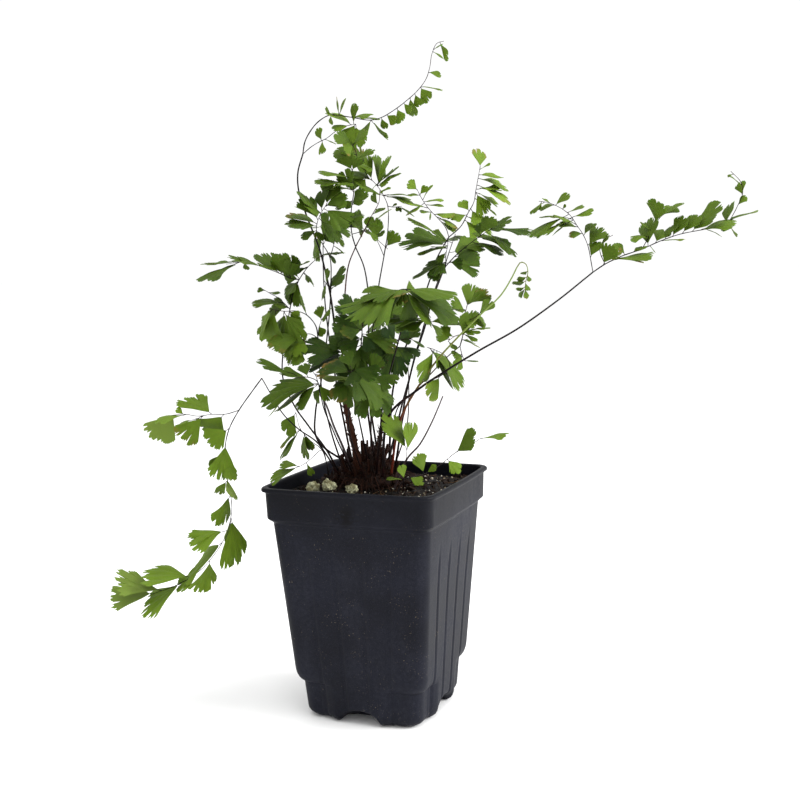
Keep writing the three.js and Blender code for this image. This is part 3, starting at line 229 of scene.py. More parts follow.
class Shader:
    # one material: its nodes are made by these functions and joined by Fields
    def __init__(self, name):
        self.material = bpy.data.materials.new(name)
        self.material.use_nodes = True
        self.tree = self.material.node_tree
        self.tree.nodes.clear()

    def node(self, kind, settings=None, inputs=None, out=0):
        made = self.tree.nodes.new(kind)
        for key, value in (settings or {}).items():
            setattr(made, key, value)
        for key, value in (inputs or {}).items():
            if isinstance(value, Field):
                self.tree.links.new(value.socket, made.inputs[key])
            else:
                made.inputs[key].default_value = value
        return Field(self, made.outputs[out]) if made.outputs else None

    def mix(self, share, first, second, blend="MIX"):
        settings = {"data_type": "RGBA", "blend_type": blend}
        full = [(*c, 1) if isinstance(c, tuple) and len(c) == 3 else c for c in (first, second)]
        return self.node("ShaderNodeMix", settings, {0: share, 6: full[0], 7: full[1]}, out=2)

    def place(self):
        return self.node("ShaderNodeTexCoord", out=3)

    def stretched(self, *scale):
        return self.node("ShaderNodeMapping", {}, {"Vector": self.place(), "Scale": scale})

    def part(self, field, axis):
        return self.node("ShaderNodeSeparateXYZ", {}, {0: field}, axis)

    def noise(self, scale, detail=3.0, rough=0.55, at=None, out=0):
        inputs = {"Vector": at or self.place(), "Scale": scale, "Detail": detail, "Roughness": rough}
        return self.node("ShaderNodeTexNoise", {}, inputs, out)

    def value(self, name):
        return self.node("ShaderNodeAttribute", {"attribute_name": name}, out=2)

    def finish(self, colour, roughness, bump=None, bumpDepth=0.0002, **fixed):
        inputs = {"Base Color": colour, "Roughness": roughness}
        if bump is not None:
            inputs["Normal"] = self.node("ShaderNodeBump", {}, {"Height": bump, "Distance": bumpDepth})
        for key, value in fixed.items():
            inputs[key.replace("_", " ")] = value
        surface = self.node("ShaderNodeBsdfPrincipled", {}, inputs)
        self.node("ShaderNodeOutputMaterial", {}, {"Surface": surface})
        return self.material


def linear(red, green, blue):
    # a screen colour, 0 to 255, as the shader's linear one
    shares = (red / 255, green / 255, blue / 255)
    return tuple(((c + 0.055) / 1.055) ** 2.4 if c > 10 / 255 else c / 12.92 for c in shares)


# camera, floor and light

viewSetup = {
    "place": (0.2201, -0.5061, 0.2192),
    "back": (0.3764, -0.9191, 0.1168),  # from the pot towards the camera
    "roll": -1.53,
    "lens": 50.58,
    "clip": (0.01, 50),
    "floorHalf": 40,
    "floorShade": 0.975,
    "floorRoughness": 0.75,
    "worldStrength": 1.04,
}
lights = {
    "rightSoftbox": {"place": (1.3, 0.2, 0.8), "target": (0, 0, 0.12), "size": 0.9, "watts": 26},
    "topSoftbox": {"place": (0.1, -0.3, 1.6), "target": (0, 0, 0.15), "size": 1.0, "watts": 10},
}


def makeCamera(s):
    back = Vector(s["back"]).normalized()
    right = Vector((0, 0, 1)).cross(back).normalized()
    up = back.cross(right)
    turn = Matrix((right, up, back)).transposed() @ Matrix.Rotation(math.radians(s["roll"]), 3, "Z")
    data = bpy.data.cameras.new("camera")
    data.lens = s["lens"]
    data.clip_start, data.clip_end = s["clip"]
    camera = bpy.data.objects.new("camera", data)
    camera.matrix_world = Matrix.Translation(s["place"]) @ turn.to_4x4()
    bpy.context.scene.collection.objects.link(camera)
    bpy.context.scene.camera = camera


def makeStage(s):
    world = bpy.data.worlds.new("studio")
    bpy.context.scene.world = world
    world.use_nodes = True
    sky = world.node_tree.nodes["Background"]
    sky.inputs["Color"].default_value = (1, 1, 1, 1)
    sky.inputs["Strength"].default_value = s["worldStrength"]
    half = s["floorHalf"]
    corners = [(-half, -half, 0), (half, -half, 0), (half, half, 0), (-half, half, 0)]
    mesh = bpy.data.meshes.new("floor")
    mesh.from_pydata(corners, [], [(0, 1, 2, 3)])
    floor = bpy.data.objects.new("floor", mesh)
    bpy.context.scene.collection.objects.link(floor)
    paint = Shader("floor")
    paint.finish((*[s["floorShade"]] * 3, 1), s["floorRoughness"])
    mesh.materials.append(paint.material)


def addLight(name, s):
    data = bpy.data.lights.new(name, "AREA")
    data.shape = "DISK"
    data.size = s["size"]
    data.energy = s["watts"]
    lamp = bpy.data.objects.new(name, data)
    lamp.location = s["place"]
    lamp.rotation_euler = (Vector(s["target"]) - Vector(s["place"])).to_track_quat("-Z", "Y").to_euler()
    bpy.context.scene.collection.objects.link(lamp)


makeCamera(viewSetup)
makeStage(viewSetup)
for lightName, lightSetup in lights.items():
    addLight(lightName, lightSetup)
bpy.context.scene.view_settings.view_transform = "Standard"
print("camera, floor and lights set")


# pot: one thin moulding, lofted as rings from the middle of its floor, up the outside, over the lip
# and down the inside to the floor again

potShape = {
    "height": 116.5,
    "baseHalf": 32.8,  # half-width of the tapered body, carried down to the table
    "neckHalf": 40.6,
    "neckHeight": 98.9,
    "collarHalf": 42.7,
    "collarFlare": 0.4,
    "shoulder": 2.6,
    "corner": 7.0,
    "wall": 1.2,
    "bow": 0.9,
    "bowHeights": (60, 104),  # the sides start to bow at the first, and bow in full from the second
    "grooves": (-0.66, -0.22, 0.22, 0.66),  # their places across each side's flat
    "grooveDepth": 0.55,
    "grooveWidth": 0.75,
    "grooveBank": (0.16, 2.2),  # a low bank beside a groove: its share of the depth, its place in widths
    "grooveEnd": (76, 92),  # the grooves fade out between these heights
    "footHeight": 18.5,
    "footLedge": 7.0,  # height of the rounded edge above each foot
    "footStep": 2.6,
    "footRound": 4.6,
    "archHalf": 11.0,
    "archHeight": 6.0,
    "archReach": (19.0, 29.0),  # the floor slopes between these distances from the middle
    "archFade": 14,  # height at which the walls no longer follow the arch
    "floorTop": 1.4,
    "holeRadius": 3.0,
    "holeAt": 24.0,
    # heights of the rings, and even runs of them as (from, to, how many)
    "outsideFoot": (0.05, 0.3, 0.8, 1.5, 2.4, 3.4, 4.6, 6, 8, 10, 12, 14, 16),
    "outsideRuns": ((17.6, 19.2, 12), (19.6, 25, 10), (27, 97, 38), (98.2, 102.3, 12), (103.5, 113.4, 9)),
    "insideFoot": (2.6, 4, 6, 9, 13),
    "insideRuns": ((17, 25, 8), (26, 96, 15), (98.4, 102.4, 6), (107, 107, 1), (112, 112, 1),
                   (114.6, 114.6, 1)),
    "insideLift": 0.2,
    "floorRings": (16, 12),  # under the floor and above it
    # the lip from its underside over the top: below the top edge, and outwards from the collar's top
    "lip": ((2.7, 0), (2.3, 0.3), (1.9, 1.28), (1.4, 1.4), (0.8, 1.38), (0.3, 1.18), (0, 0.78), (0, -0.75),
            (0.2, -1.05), (0.7, -1.2)),
}


def bodyHalf(s, z):
    return s["baseHalf"] + (s["neckHalf"] - s["baseHalf"]) * z / s["neckHeight"]


def potRing(s, z, half, corner, groove=0.0, foot=0.0, bow=0.0, perSide=72, perCorner=14):
    # one ring of the pot's skin: places out from each side and along it, turned to all four sides
    flat = half - corner
    along = np.linspace(-1, 1, perSide, endpoint=False) + 1 / perSide
    out = np.full(perSide, half) + bow * (1 - along ** 2)
    for place in s["grooves"]:
        gap = (along - place) * flat / s["grooveWidth"]
        out -= groove * np.exp(-gap * gap)
        out += s["grooveBank"][0] * groove * np.exp(-((gap - s["grooveBank"][1]) ** 2))
    inCorner = smoothStep(0.42, 0.8, np.abs(along))
    out -= foot * inCorner
    place = along * flat - np.sign(along) * foot * smoothStep(0.7, 1, np.abs(along))
    angle = (np.arange(perCorner) + 0.5) / perCorner * math.pi / 2
    centre = flat - foot
    bend = np.stack([centre + corner * np.cos(angle), centre + corner * np.sin(angle)], 1)
    side = np.vstack([np.stack([out, place], 1), bend])
    ring = []
    for turn in range(4):
        c, d = round(math.cos(turn * math.pi / 2)), round(math.sin(turn * math.pi / 2))
        ring.append(np.stack([side[:, 0] * c - side[:, 1] * d, side[:, 0] * d + side[:, 1] * c], 1))
    ring = np.vstack(ring)
    return np.column_stack([ring, np.full(len(ring), z)])


def archLift(s, points):
    # how far the floor and the wall's foot rise in the middle of each side
    x, y = np.abs(points[:, 0]), np.abs(points[:, 1])
    out, along = np.maximum(x, y), np.minimum(x, y)
    arch = np.sqrt(np.clip(1 - (along / s["archHalf"]) ** 2, 0, 1)) ** 1.4
    return s["archHeight"] * arch * smoothStep(*s["archReach"], out)


def outsideRing(s, z, inset=0.0):
    # the pot's outside at a height, drawn in by inset for the inside of the wall
    plain = inset > 0
    shoulder = smoothStep(s["neckHeight"] - 0.2, s["neckHeight"] + s["shoulder"], z)
    collar = s["collarHalf"] + s["collarFlare"] * smoothStep(s["neckHeight"], s["height"], z)
    half = bodyHalf(s, z) * (1 - shoulder) + collar * shoulder - inset
    groove = 0 if plain else s["grooveDepth"] * (1 - smoothStep(*s["grooveEnd"], z))
    fall = min(max((s["footHeight"] + s["footLedge"] - z) / s["footLedge"], 0), 1)
    foot = s["footStep"] * (1 - math.sqrt(1 - fall * fall))
    rounding = s["footRound"] - z
    if rounding > 0:
        half -= s["footRound"] - math.sqrt(s["footRound"] ** 2 - rounding ** 2)
    bow = s["bow"] * smoothStep(*s["bowHeights"], z)
    ring = potRing(s, z, half, s["corner"] - inset * 0.6, groove, foot, bow)
    ring[:, 2] += archLift(s, ring) * max(0.0, 1 - z / s["archFade"])
    return ring


def floorRings(s, edge, height, count):
    # rings that close the floor, from its edge towards the middle
    rings = []
    for k in range(1, count):
        ring = edge.copy()
        ring[:, :2] *= 1 - k / count
        ring[:, 2] = height + archLift(s, ring)
        rings.append(ring)
    return rings


def ringHeights(foot, runs):
    return [*foot, *(z for run in runs for z in np.linspace(*run))]


def makePot(s):
    outside = [outsideRing(s, z) for z in ringHeights(s["outsideFoot"], s["outsideRuns"])]
    collar = s["collarHalf"] + s["collarFlare"]
    rim = []
    for below, beyond in s["lip"]:
        rim.append(potRing(s, s["height"] - below, collar + beyond, s["corner"], bow=s["bow"]))
    inside = [outsideRing(s, z, s["wall"]) for z in reversed(ringHeights(s["insideFoot"], s["insideRuns"]))]
    for ring in inside:
        ring[:, 2] += s["insideLift"]
    under = list(reversed(floorRings(s, outside[0], 0.0, s["floorRings"][0])))
    inner = floorRings(s, inside[-1], s["floorTop"], s["floorRings"][1])
    rings = np.array([*under, *outside, *rim, *inside, *inner])
    points = rings.reshape(-1, 3)
    points[:, 2] = np.maximum(points[:, 2], 0)
    heap = Heap()
    heap.add(np.vstack([points, [[0, 0, 0], [0, 0, s["floorTop"]]]]), *skinFaces(*rings.shape[:2]))
    pot = heap.build("pot_moulding", plasticMaterial(plasticLook), "pot_plastic", ["pot"], sharp=60)
    cutDrainHoles(pot, s)


def cutDrainHoles(pot, s):
    drills = Heap()
    for turn in range(4):
        a = turn * math.pi / 2
        x, y = s["holeAt"] * math.cos(a), s["holeAt"] * math.sin(a)
        line = np.array([(x, y, z) for z in np.linspace(-2, 9, 5)])
        addTube(drills, line, np.full(5, s["holeRadius"]), 24)
    cutter = drills.build("drills", pot.data.materials[0], "pot_plastic", None)
    cut = pot.modifiers.new("drain", "BOOLEAN")
    cut.operation = "DIFFERENCE"
    cut.solver = "EXACT"
    cut.object = cutter
    with bpy.context.temp_override(object=pot, active_object=pot, selected_objects=[pot]):
        bpy.ops.object.modifier_apply(modifier=cut.name)
    bpy.data.objects.remove(cutter)


plasticLook = {
    "dark": (10, 11, 19),
    "light": (17, 19, 29),
    "dust": (70, 70, 78),
    "dustShare": 0.22,
    # grain is a painted sheen: lighter bluish flecks over the whole pot that stand in for light on the
    # plastic
    "grain": (58, 60, 74),
    "paintedSheenShare": 0.22,
    "speck": (124, 112, 92),
    "speckShare": 0.6,
    "damp": (6, 6, 8),  # the collar is darker between these heights, in metres
    "dampHeights": (0.094, 0.112),
    "dampShare": 0.5,
    "scuff": (6, 5, 6),  # a mark on the collar's front, with its place and two radii in metres
    "scuffPlace": (0.002, -0.0436, 0.105),
    "scuffRadii": (0.001, 0.0085),
    "scuffShare": 0.85,
    "roughness": 0.44,
    "bumpDepth": 0.00009,
    "specular": 0.1,
}


def plasticMaterial(s):
    m = Shader("nursery_plastic")
    broad = m.noise(28, 3)
    dust = m.noise(520, 4, 0.7)
    fine = m.noise(2600, 2)
    speck = m.noise(1500, 1, 0.4)
    specks = speck.step(0.715, 0.76) * m.noise(75, 2).step(0.42, 0.66)
    streak = m.noise(90, 3, at=m.stretched(1, 1, 0.1))
    dusty = (dust * 0.6 + streak * 0.4).step(0.42, 0.72) * broad.step(0.3, 0.75)
    base = m.mix(broad.step(0.3, 0.7), linear(*s["dark"]), linear(*s["light"]))
    base = m.mix(dusty * s["dustShare"], base, linear(*s["dust"]))
    # painted sheen: lighter flecks of the grain colour, laid on in the fine noise's patches
    base = m.mix(fine.step(0.45, 0.75) * s["paintedSheenShare"], base, linear(*s["grain"]))
    base = m.mix(specks * s["speckShare"], base, linear(*s["speck"]))
    height = m.part(m.place(), 2)
    # the pot is darker towards the top: from 94 mm up, in full above 112 mm, over the collar and lip
    base = m.mix(height.step(*s["dampHeights"]) * s["dampShare"], base, linear(*s["damp"]))
    inputs = {0: m.place(), 1: s["scuffPlace"]}
    offset = m.node("ShaderNodeVectorMath", {"operation": "DISTANCE"}, inputs, out=1)
    smear = (1 - offset.step(*s["scuffRadii"])) * m.noise(330, 4, 0.7).step(0.42, 0.52)
    base = m.mix(smear * s["scuffShare"], base, linear(*s["scuff"]))
    rough = s["roughness"] + dusty * 0.24 + fine * 0.1
    bump = fine * 0.35 + dust * 0.5 + streak * 0.5 + broad * 0.8
    return m.finish(base, rough, bump, s["bumpDepth"], Specular_IOR_Level=s["specular"])


makePot(potShape)
print("pot made")


# potting mix, its loose pieces and the perlite

mixShape = {
    "edgeHeight": 110.2,
    "mound": 2.2,
    "gap": 0.25,
    "bedHeights": (8, 30, 60, 90, 96, 99.5, 103, 106, 108.4),
    "topRings": 96,
    "crumbs": ((0.05, 1.1), (0.16, 0.8), (0.42, 0.55), (1.1, 0.22)),  # fineness and depth of each roughness
    "reach": 40.5,  # fibres stay this close to the middle, across and back
    "chips": 420,
    "chipSize": (0.5, 1.9),
    "fibres": 170,
    "fibreLength": (3, 13),
    "fibreRadius": (0.09, 0.24),
    "grains": 150,
    "grainSize": (0.16, 0.55),
    # perlite lumps: across and back in the fern's frame, and size
    "lumps": ((-31.5, -14, 3.2), (-23.6, -16, 3.4), (-12.5, -20, 3.0)),
    "seed": 5,
}
fullTurn = 6.3  # a little over a whole turn, for random headings
fernTurn = math.radians(22.3)
turnCos, turnSin = math.cos(fernTurn), math.sin(fernTurn)
turnMatrix = np.array([[turnCos, turnSin, 0], [-turnSin, turnCos, 0], [0, 0, 1]])


def toPot(points):
    # from the fern's own frame to the pot's
    return np.asarray(points, float) @ turnMatrix


def mixHeight(s, x, y):
    # the mix's surface: higher in the middle, rough with crumbs
    edge = max(abs(x), abs(y)) / 42
    height = s["edgeHeight"] + s["mound"] * (1 - edge ** 2)
    for scale, depth in s["crumbs"]:
        height += depth * noise.noise(Vector((x * scale, y * scale, 3.7)))
    return height


def makeMix(s):
    inset = potShape["wall"] + s["gap"]
    edge = outsideRing(potShape, s["edgeHeight"], inset)
    rings = [outsideRing(potShape, z, inset) for z in s["bedHeights"]]
    for k in range(s["topRings"]):
        ring = edge.copy()
        ring[:, :2] *= 1 - k / s["topRings"]
        ring[:, 2] = [mixHeight(s, x, y) for x, y in ring[:, :2]]
        rings.append(ring)
    rings = np.array(rings)
    heap = Heap()
    ends = [[0, 0, s["bedHeights"][0]], [0, 0, mixHeight(s, 0, 0)]]
    heap.add(np.vstack([rings.reshape(-1, 3), ends]), *skinFaces(*rings.shape[:2]))
    heap.build("mix_bed", mixMaterial(mixLook), "potting_mix", ["potting_mix"], sharp=70)


mixLook = {
    "peat": (7, 6, 5),
    "peatLight": (19, 14, 11),
    "crumb": (42, 31, 24),
    "crumbShare": 0.7,
    "bark": ((8, 6, 5), (46, 31, 22)),
    "fibre": ((34, 22, 15), (122, 92, 62)),
    "grain": ((205, 200, 186), (150, 138, 112)),  # perlite: fresh and stained
    "lump": ((186, 186, 150), (118, 112, 78)),
    "pit": (52, 44, 32),
    "pitShare": 0.6,
    "specular": 0.15,
}


def mixMaterial(s):
    m = Shader("peat_mix")
    crumbs = m.noise(900, 4, 0.7)
    patches = m.noise(160, 3)
    base = m.mix(patches.step(0.35, 0.65), linear(*s["peat"]), linear(*s["peatLight"]))
    base = m.mix(crumbs.step(0.58, 0.75) * s["crumbShare"], base, linear(*s["crumb"]))
    bump = crumbs * 1.0 + patches * 0.6
    return m.finish(base, 0.6 + crumbs * 0.2, bump, 0.0005, Specular_IOR_Level=s["specular"])


def roundLump(radius, rng, detail=10, rough=0.25, squash=(1, 1, 1)):
    # a closed lump: a sphere of rows and columns pushed about by noise
    rows, columns = detail, detail * 2
    lat = np.linspace(0, math.pi, rows + 2)[1:-1]
    lon = np.arange(columns) / columns * 2 * math.pi
    ball = np.stack([np.outer(np.sin(lat), np.cos(lon)), np.outer(np.sin(lat), np.sin(lon)),
                     np.outer(np.cos(lat), np.ones(columns))], -1).reshape(-1, 3)
    ball = np.vstack([ball, [[0, 0, 1], [0, 0, -1]]])
    shift = Vector([rng.uniform(0, 99) for _ in range(3)])
    swell = [noise.noise(Vector(p) * 1.7 + shift) + 0.45 * noise.noise(Vector(p) * 4.5 + shift) for p in ball]
    points = ball * (1 + rough * np.array(swell))[:, None] * radius * np.array(squash)
    quads, tris = skinFaces(rows, columns)
    # the rows run from the top down here, so the faces are turned over
    return points, quads[:, ::-1], tris[:, [0, 2, 1]]


def randomTurn(rng):
    return np.array(Matrix.Rotation(rng.uniform(0, fullTurn), 3, Vector(gaussVector(rng)).normalized()))


def spotOnMix(rng, reach=39.5):
    return rng.uniform(-reach, reach), rng.uniform(-reach, reach)


def makeLooseMix(s):
    rng = random.Random(s["seed"])
    chips = Heap()
    for _ in range(s["chips"]):
        x, y = spotOnMix(rng)
        size = rng.uniform(*s["chipSize"]) * rng.choice((0.7, 1, 1, 1.5))
        flat = (1.0, rng.uniform(0.4, 0.9), rng.uniform(0.22, 0.5))
        points, quads, tris = roundLump(size, rng, 5, 0.7, flat)
        points = points @ randomTurn(rng) + [x, y, mixHeight(s, x, y) + size * 0.15]
        chips.add(points, quads, tris, tone=rng.random())
    chips.build("mix_bark_chips", barkMaterial(mixLook), "potting_mix", None)
    fibres = Heap()
    for _ in range(s["fibres"]):
        x, y = spotOnMix(rng, 38)
        heading = rng.uniform(0, fullTurn)
        stride = rng.uniform(*s["fibreLength"]) / 6
        bend = rng.uniform(-0.22, 0.22)
        line = []
        for _ in range(7):
            heading += bend + rng.uniform(-0.25, 0.25)
            x = min(max(x + math.cos(heading) * stride, -s["reach"]), s["reach"])
            y = min(max(y + math.sin(heading) * stride, -s["reach"]), s["reach"])
            line.append((x, y, mixHeight(s, x, y) + rng.uniform(0.1, 0.7)))
        points, _ = curvePoints(line, 0.8)
        thick = rng.uniform(*s["fibreRadius"])
        addTube(fibres, points, np.linspace(thick, thick * 0.4, len(points)), 5, tone=rng.random())
    fibres.build("mix_fibres", fibreMaterial(mixLook), "potting_mix", None)
    grains = Heap()
    for _ in range(s["grains"]):
        x, y = spotOnMix(rng)
        size = rng.uniform(*s["grainSize"]) * rng.choice((0.8, 1, 1, 1.4))
        points, quads, tris = roundLump(size, rng, 5, 0.5)
        grains.add(points + [x, y, mixHeight(s, x, y) + size * 0.4], quads, tris, tone=rng.random())
    grains.build("perlite_grains", perliteMaterial("perlite_grain", mixLook, "grain"), "perlite", None)
    lumpPaint = perliteMaterial("perlite_lump", mixLook, "lump")
    for i, (x, y, size) in enumerate(s["lumps"]):
        heap = Heap()
        points, quads, tris = roundLump(size, rng, 26, 0.42, (1.1, 0.9, 0.85))
        px, py, _ = toPot((x, y, 0))
        lift = size * 0.72
        heap.add(points @ randomTurn(rng) + [px, py, mixHeight(s, px, py) + lift], quads, tris, tone=0.5)
        heap.build(f"perlite_lump_{i + 1}", lumpPaint, "perlite", [f"perlite_{i + 1}"])


def barkMaterial(s):
    m = Shader("bark_chips")
    grain = m.noise(1100, 3, at=m.stretched(1, 0.3, 1))
    dark, light = s["bark"]
    base = m.mix(m.value("tone") * 0.6 + grain * 0.25, linear(*dark), linear(*light))
    return m.finish(base, 0.7 + grain * 0.2, grain, 0.0003, Specular_IOR_Level=s["specular"])


def fibreMaterial(s):
    m = Shader("peat_fibres")
    worn = m.noise(500, 2)
    dark, light = s["fibre"]
    base = m.mix(m.value("tone") * worn.step(0.2, 0.8), linear(*dark), linear(*light))
    return m.finish(base, 0.6 + worn * 0.3, worn, 0.0002, Specular_IOR_Level=s["specular"])


def perliteMaterial(name, s, kind):
    m = Shader(name)
    pits = m.noise(1300, 4, 0.7)
    stain = m.noise(330, 3)
    fresh, stained = s[kind]
    base = m.mix(stain.step(0.38, 0.62), linear(*fresh), linear(*stained))
    base = m.mix(pits.step(0.55, 0.75) * s["pitShare"], base, linear(*s["pit"]))
    return m.finish(base, 0.8 + pits * 0.15, pits, 0.0006)


makeMix(mixShape)
makeLooseMix(mixShape)
print("potting mix made")


# crown, stumps and old stipes

crownShape = {
    "centre": (-4.6, 1, 112.7),
    "radii": (17.5, 15.5, 11.5),
    "scales": 900,
    "scaleLength": (1.2, 3.2),
    "scaleWidth": (0.3, 0.7),
    "stubs": 34,
    "stubLength": (4, 11),
    "stubRadius": (0.6, 1.2),
    "rootHairs": 110,
    "hairLength": (6, 12),
    "hairReach": 40,  # root hairs end this close to the middle, across and back
    "seed": 11,
    "dark": (8, 5, 4),
    "light": (78, 40, 22),
    "lift": 0.28,  # how far the scales' own tone takes them towards the light colour
    "specular": 0.15,
}


def crownSurface(s, lat, lon):
    c, r = np.array(s["centre"]), np.array(s["radii"])
    ball = np.array([math.cos(lat) * math.cos(lon), math.cos(lat) * math.sin(lon), math.sin(lat)])
    lump = 1 + 0.17 * noise.noise(Vector(ball * 2.6)) + 0.09 * noise.noise(Vector(ball * 7))
    return c + ball * r * lump, unit(ball / r)


def addScale(heap, foot, direction, length, width, rng, tone):
    # a thin pointed scale: four rows of three points on each side, closed
    side = unit(np.cross(direction, gaussVector(rng)))
    lift = np.cross(direction, side)
    rows = []
    for t, w in ((0, 0.7), (0.35, 1), (0.7, 0.6), (1, 0.05)):
        middle = foot + direction * length * t + lift * length * 0.18 * t * t
        for offset in (-1, 0, 1):
            rows.append(middle + side * offset * w * width / 2 - lift * abs(offset) * 0.12 * width)
    top = np.array(rows)
    n = len(top)
    points = np.vstack([top, top - lift * 0.09])
    upper = gridQuads(4, 3)
    quads = np.concatenate([upper, upper[:, ::-1] + n])
    rim = [0, 1, 2, 5, 8, 11, 10, 9, 6, 3]
    edges = [(a, a + n, b + n, b) for a, b in zip(rim, rim[1:] + rim[:1])]
    heap.add(points, np.concatenate([quads, edges]), tone=tone)


def makeCrown(s):
    rng = random.Random(s["seed"])
    core = Heap()
    rows, columns = 40, 84
    lats = np.linspace(-1.2, math.pi / 2, rows, endpoint=False)
    grid = [crownSurface(s, lat, 2 * math.pi * k / columns)[0] for lat in lats for k in range(columns)]
    ends = [crownSurface(s, -math.pi / 2, 0)[0], crownSurface(s, math.pi / 2, 0)[0]]
    core.add(toPot(np.vstack([grid, ends])), *skinFaces(rows, columns), tone=0.2)
    paint = scalyMaterial("rhizome_scales", s, s["lift"])
    core.build("crown_rhizome", paint, "scaly_crown", ["crown"], sharp=80)
    scales = Heap()
    for _ in range(s["scales"]):
        foot, normal = crownSurface(s, rng.uniform(0.0, 1.5), rng.uniform(0, fullTurn))
        direction = unit(normal + np.array([rng.gauss(0, 0.6), rng.gauss(0, 0.6), rng.uniform(0.1, 1.4)]))
        length, width, tone = rng.uniform(*s["scaleLength"]), rng.uniform(*s["scaleWidth"]), rng.random()
        addScale(scales, toPot(foot - normal * 0.3), toPot(direction), length, width, rng, tone)
    scales.build("crown_scales", paint, "scaly_crown", None)
    stubs = Heap()
    for _ in range(s["stubs"]):
        foot, normal = crownSurface(s, rng.uniform(0.5, 1.5), rng.uniform(0, fullTurn))
        way = unit(normal + np.array([rng.gauss(0, 0.35), rng.gauss(0, 0.35), 1.3]))
        top = foot + way * rng.uniform(*s["stubLength"])
        middle = (foot + top) / 2 + [rng.gauss(0, 0.5), rng.gauss(0, 0.5), 0]
        line, _ = curvePoints([foot - normal, middle, top], 1)
        thick = rng.uniform(*s["stubRadius"])
        addTube(stubs, toPot(line), thick * (1.1 - 0.3 * np.linspace(0, 1, len(line))), 8, tone=rng.random())
    stubs.build("crown_stubs", paint, "scaly_crown", None)
    hairs = Heap()
    for _ in range(s["rootHairs"]):
        foot, normal = crownSurface(s, rng.uniform(-0.1, 0.6), rng.uniform(0, fullTurn))
        out = normal * [1, 1, 0]
        tip = foot + out * rng.uniform(*s["hairLength"]) + [rng.gauss(0, 2), rng.gauss(0, 2), 0]
        line = toPot([foot, foot + out * 3 + [0, 0, 1.0], tip])
        line[2][:2] = np.clip(line[2][:2], -s["hairReach"], s["hairReach"])
        line[2][2] = mixHeight(mixShape, *line[2][:2]) + 0.1
        points, _ = curvePoints(line, 1)
        addTube(hairs, points, np.linspace(0.25, 0.08, len(points)), 5, tone=rng.random())
    hairs.build("crown_root_hairs", paint, "scaly_crown", None)


def scalyMaterial(name, s, lift):
    m = Shader(name)
    fleck = m.noise(700, 4, 0.65)
    share = m.value("tone") * lift + fleck.step(0.35, 0.7) * 0.25
    base = m.mix(share, linear(*s["dark"]), linear(*s["light"]))
    return m.finish(base, 0.6 + fleck * 0.25, fleck, 0.0004, Specular_IOR_Level=s["specular"])


# lift takes a stump's scales towards the crown's light colour; a stem without it is bare wood
oldStems = {
    "bare_stem_right": {"radius": 0.45, "line": [
        (8, -14.5, 113), (14.4, -17, 127.5), (20.8, -20, 135.1), (26.3, -21, 144.8), (29.8, -22, 152.5),
        (32.2, -23, 158.3)]},
    "bare_stem_left": {"radius": 0.6, "line": [
        (-11.5, -6, 113), (-15.8, -7, 130.1), (-20.7, -9, 143.4), (-24.1, -11, 154.5), (-27.2, -12, 160.1)]},
    "bare_stem_back": {"radius": 0.35, "line": [
        (5, 11, 113), (10.1, 13, 124), (15.1, 16, 139.4), (16.5, 18, 156.1), (16.4, 19, 170.4)]},
    "stump_tall": {"radius": 1.9, "lift": 0.75, "line": [
        (-9.6, -6.5, 114), (-10, -8, 127.1), (-11.6, -9, 137.2), (-13.3, -9, 146.2), (-14.9, -10, 155.6)]},
    "stump_short": {"radius": 1.2, "lift": 0.4, "line": [
        (-0.6, -8, 114), (0.4, -9, 129), (2.1, -9, 139.8), (3.9, -10, 149.3)]},
}
stemLook = {
    "seed": 3,
    "stumpScales": 150,
    "scaleLength": (1, 3),
    "scaleWidth": 0.5,
    "bare": ((46, 30, 30), (92, 84, 86)),  # dark and light colour of each kind of smooth stem
    "wiry": ((11, 6, 6), (84, 30, 20)),
    "young": ((92, 38, 24), (112, 132, 62)),
    "specular": 0.1,
}


def makeOldStems(table, s):
    rng = random.Random(s["seed"])
    for name, stem in table.items():
        heap = Heap()
        stump = "lift" in stem
        points, _ = curvePoints(stem["line"], 1.2)
        share = np.linspace(0, 1, len(points))
        radii = stem["radius"] * (1.25 - 0.55 * share)
        if stump:
            radii = radii * [1 + 0.35 * noise.noise(Vector(p) * 0.45) for p in points]
        addTube(heap, toPot(points), radii, 12, tone=0.35 + 0.3 * share)
        if not stump:
            heap.build(name + "_wood", wiryMaterial("old_stem_" + name, s, "bare"), "wiry_stipe", [name])
            continue
        for _ in range(s["stumpScales"]):
            place, along = alongCurve(points, rng.uniform(0.05, 1))
            out = unit(np.cross(along, gaussVector(rng)))
            direction = unit(out * rng.uniform(0.5, 1.2) + along)
            foot = place + out * stem["radius"] * 0.7
            length, tone = rng.uniform(*s["scaleLength"]), rng.random()
            addScale(heap, toPot(foot), toPot(direction), length, s["scaleWidth"], rng, tone)
        paint = scalyMaterial(name + "_scales", crownShape, stem["lift"])
        heap.build(name + "_scaly", paint, "scaly_crown", [name])


def wiryMaterial(name, s, kind):
    # smooth, glossy stem; tone runs from the dark colour to the light one
    m = Shader(name)
    dark, light = s[kind]
    worn = m.noise(260, 3)
    fine = m.noise(1500, 2)
    share = (m.value("tone") + (worn - 0.5) * 0.5).step(0.15, 0.85)
    base = m.mix(share, linear(*dark), linear(*light))
    return m.finish(base, 0.34 + worn * 0.2, fine * 0.4 + worn, 0.00008, Specular_IOR_Level=s["specular"])


makeCrown(crownShape)
makeOldStems(oldStems, stemLook)
print("crown and old stems made")


# fronds: a wiry stipe each, twigs, and thin lobed leaflets on hair-thin stalks

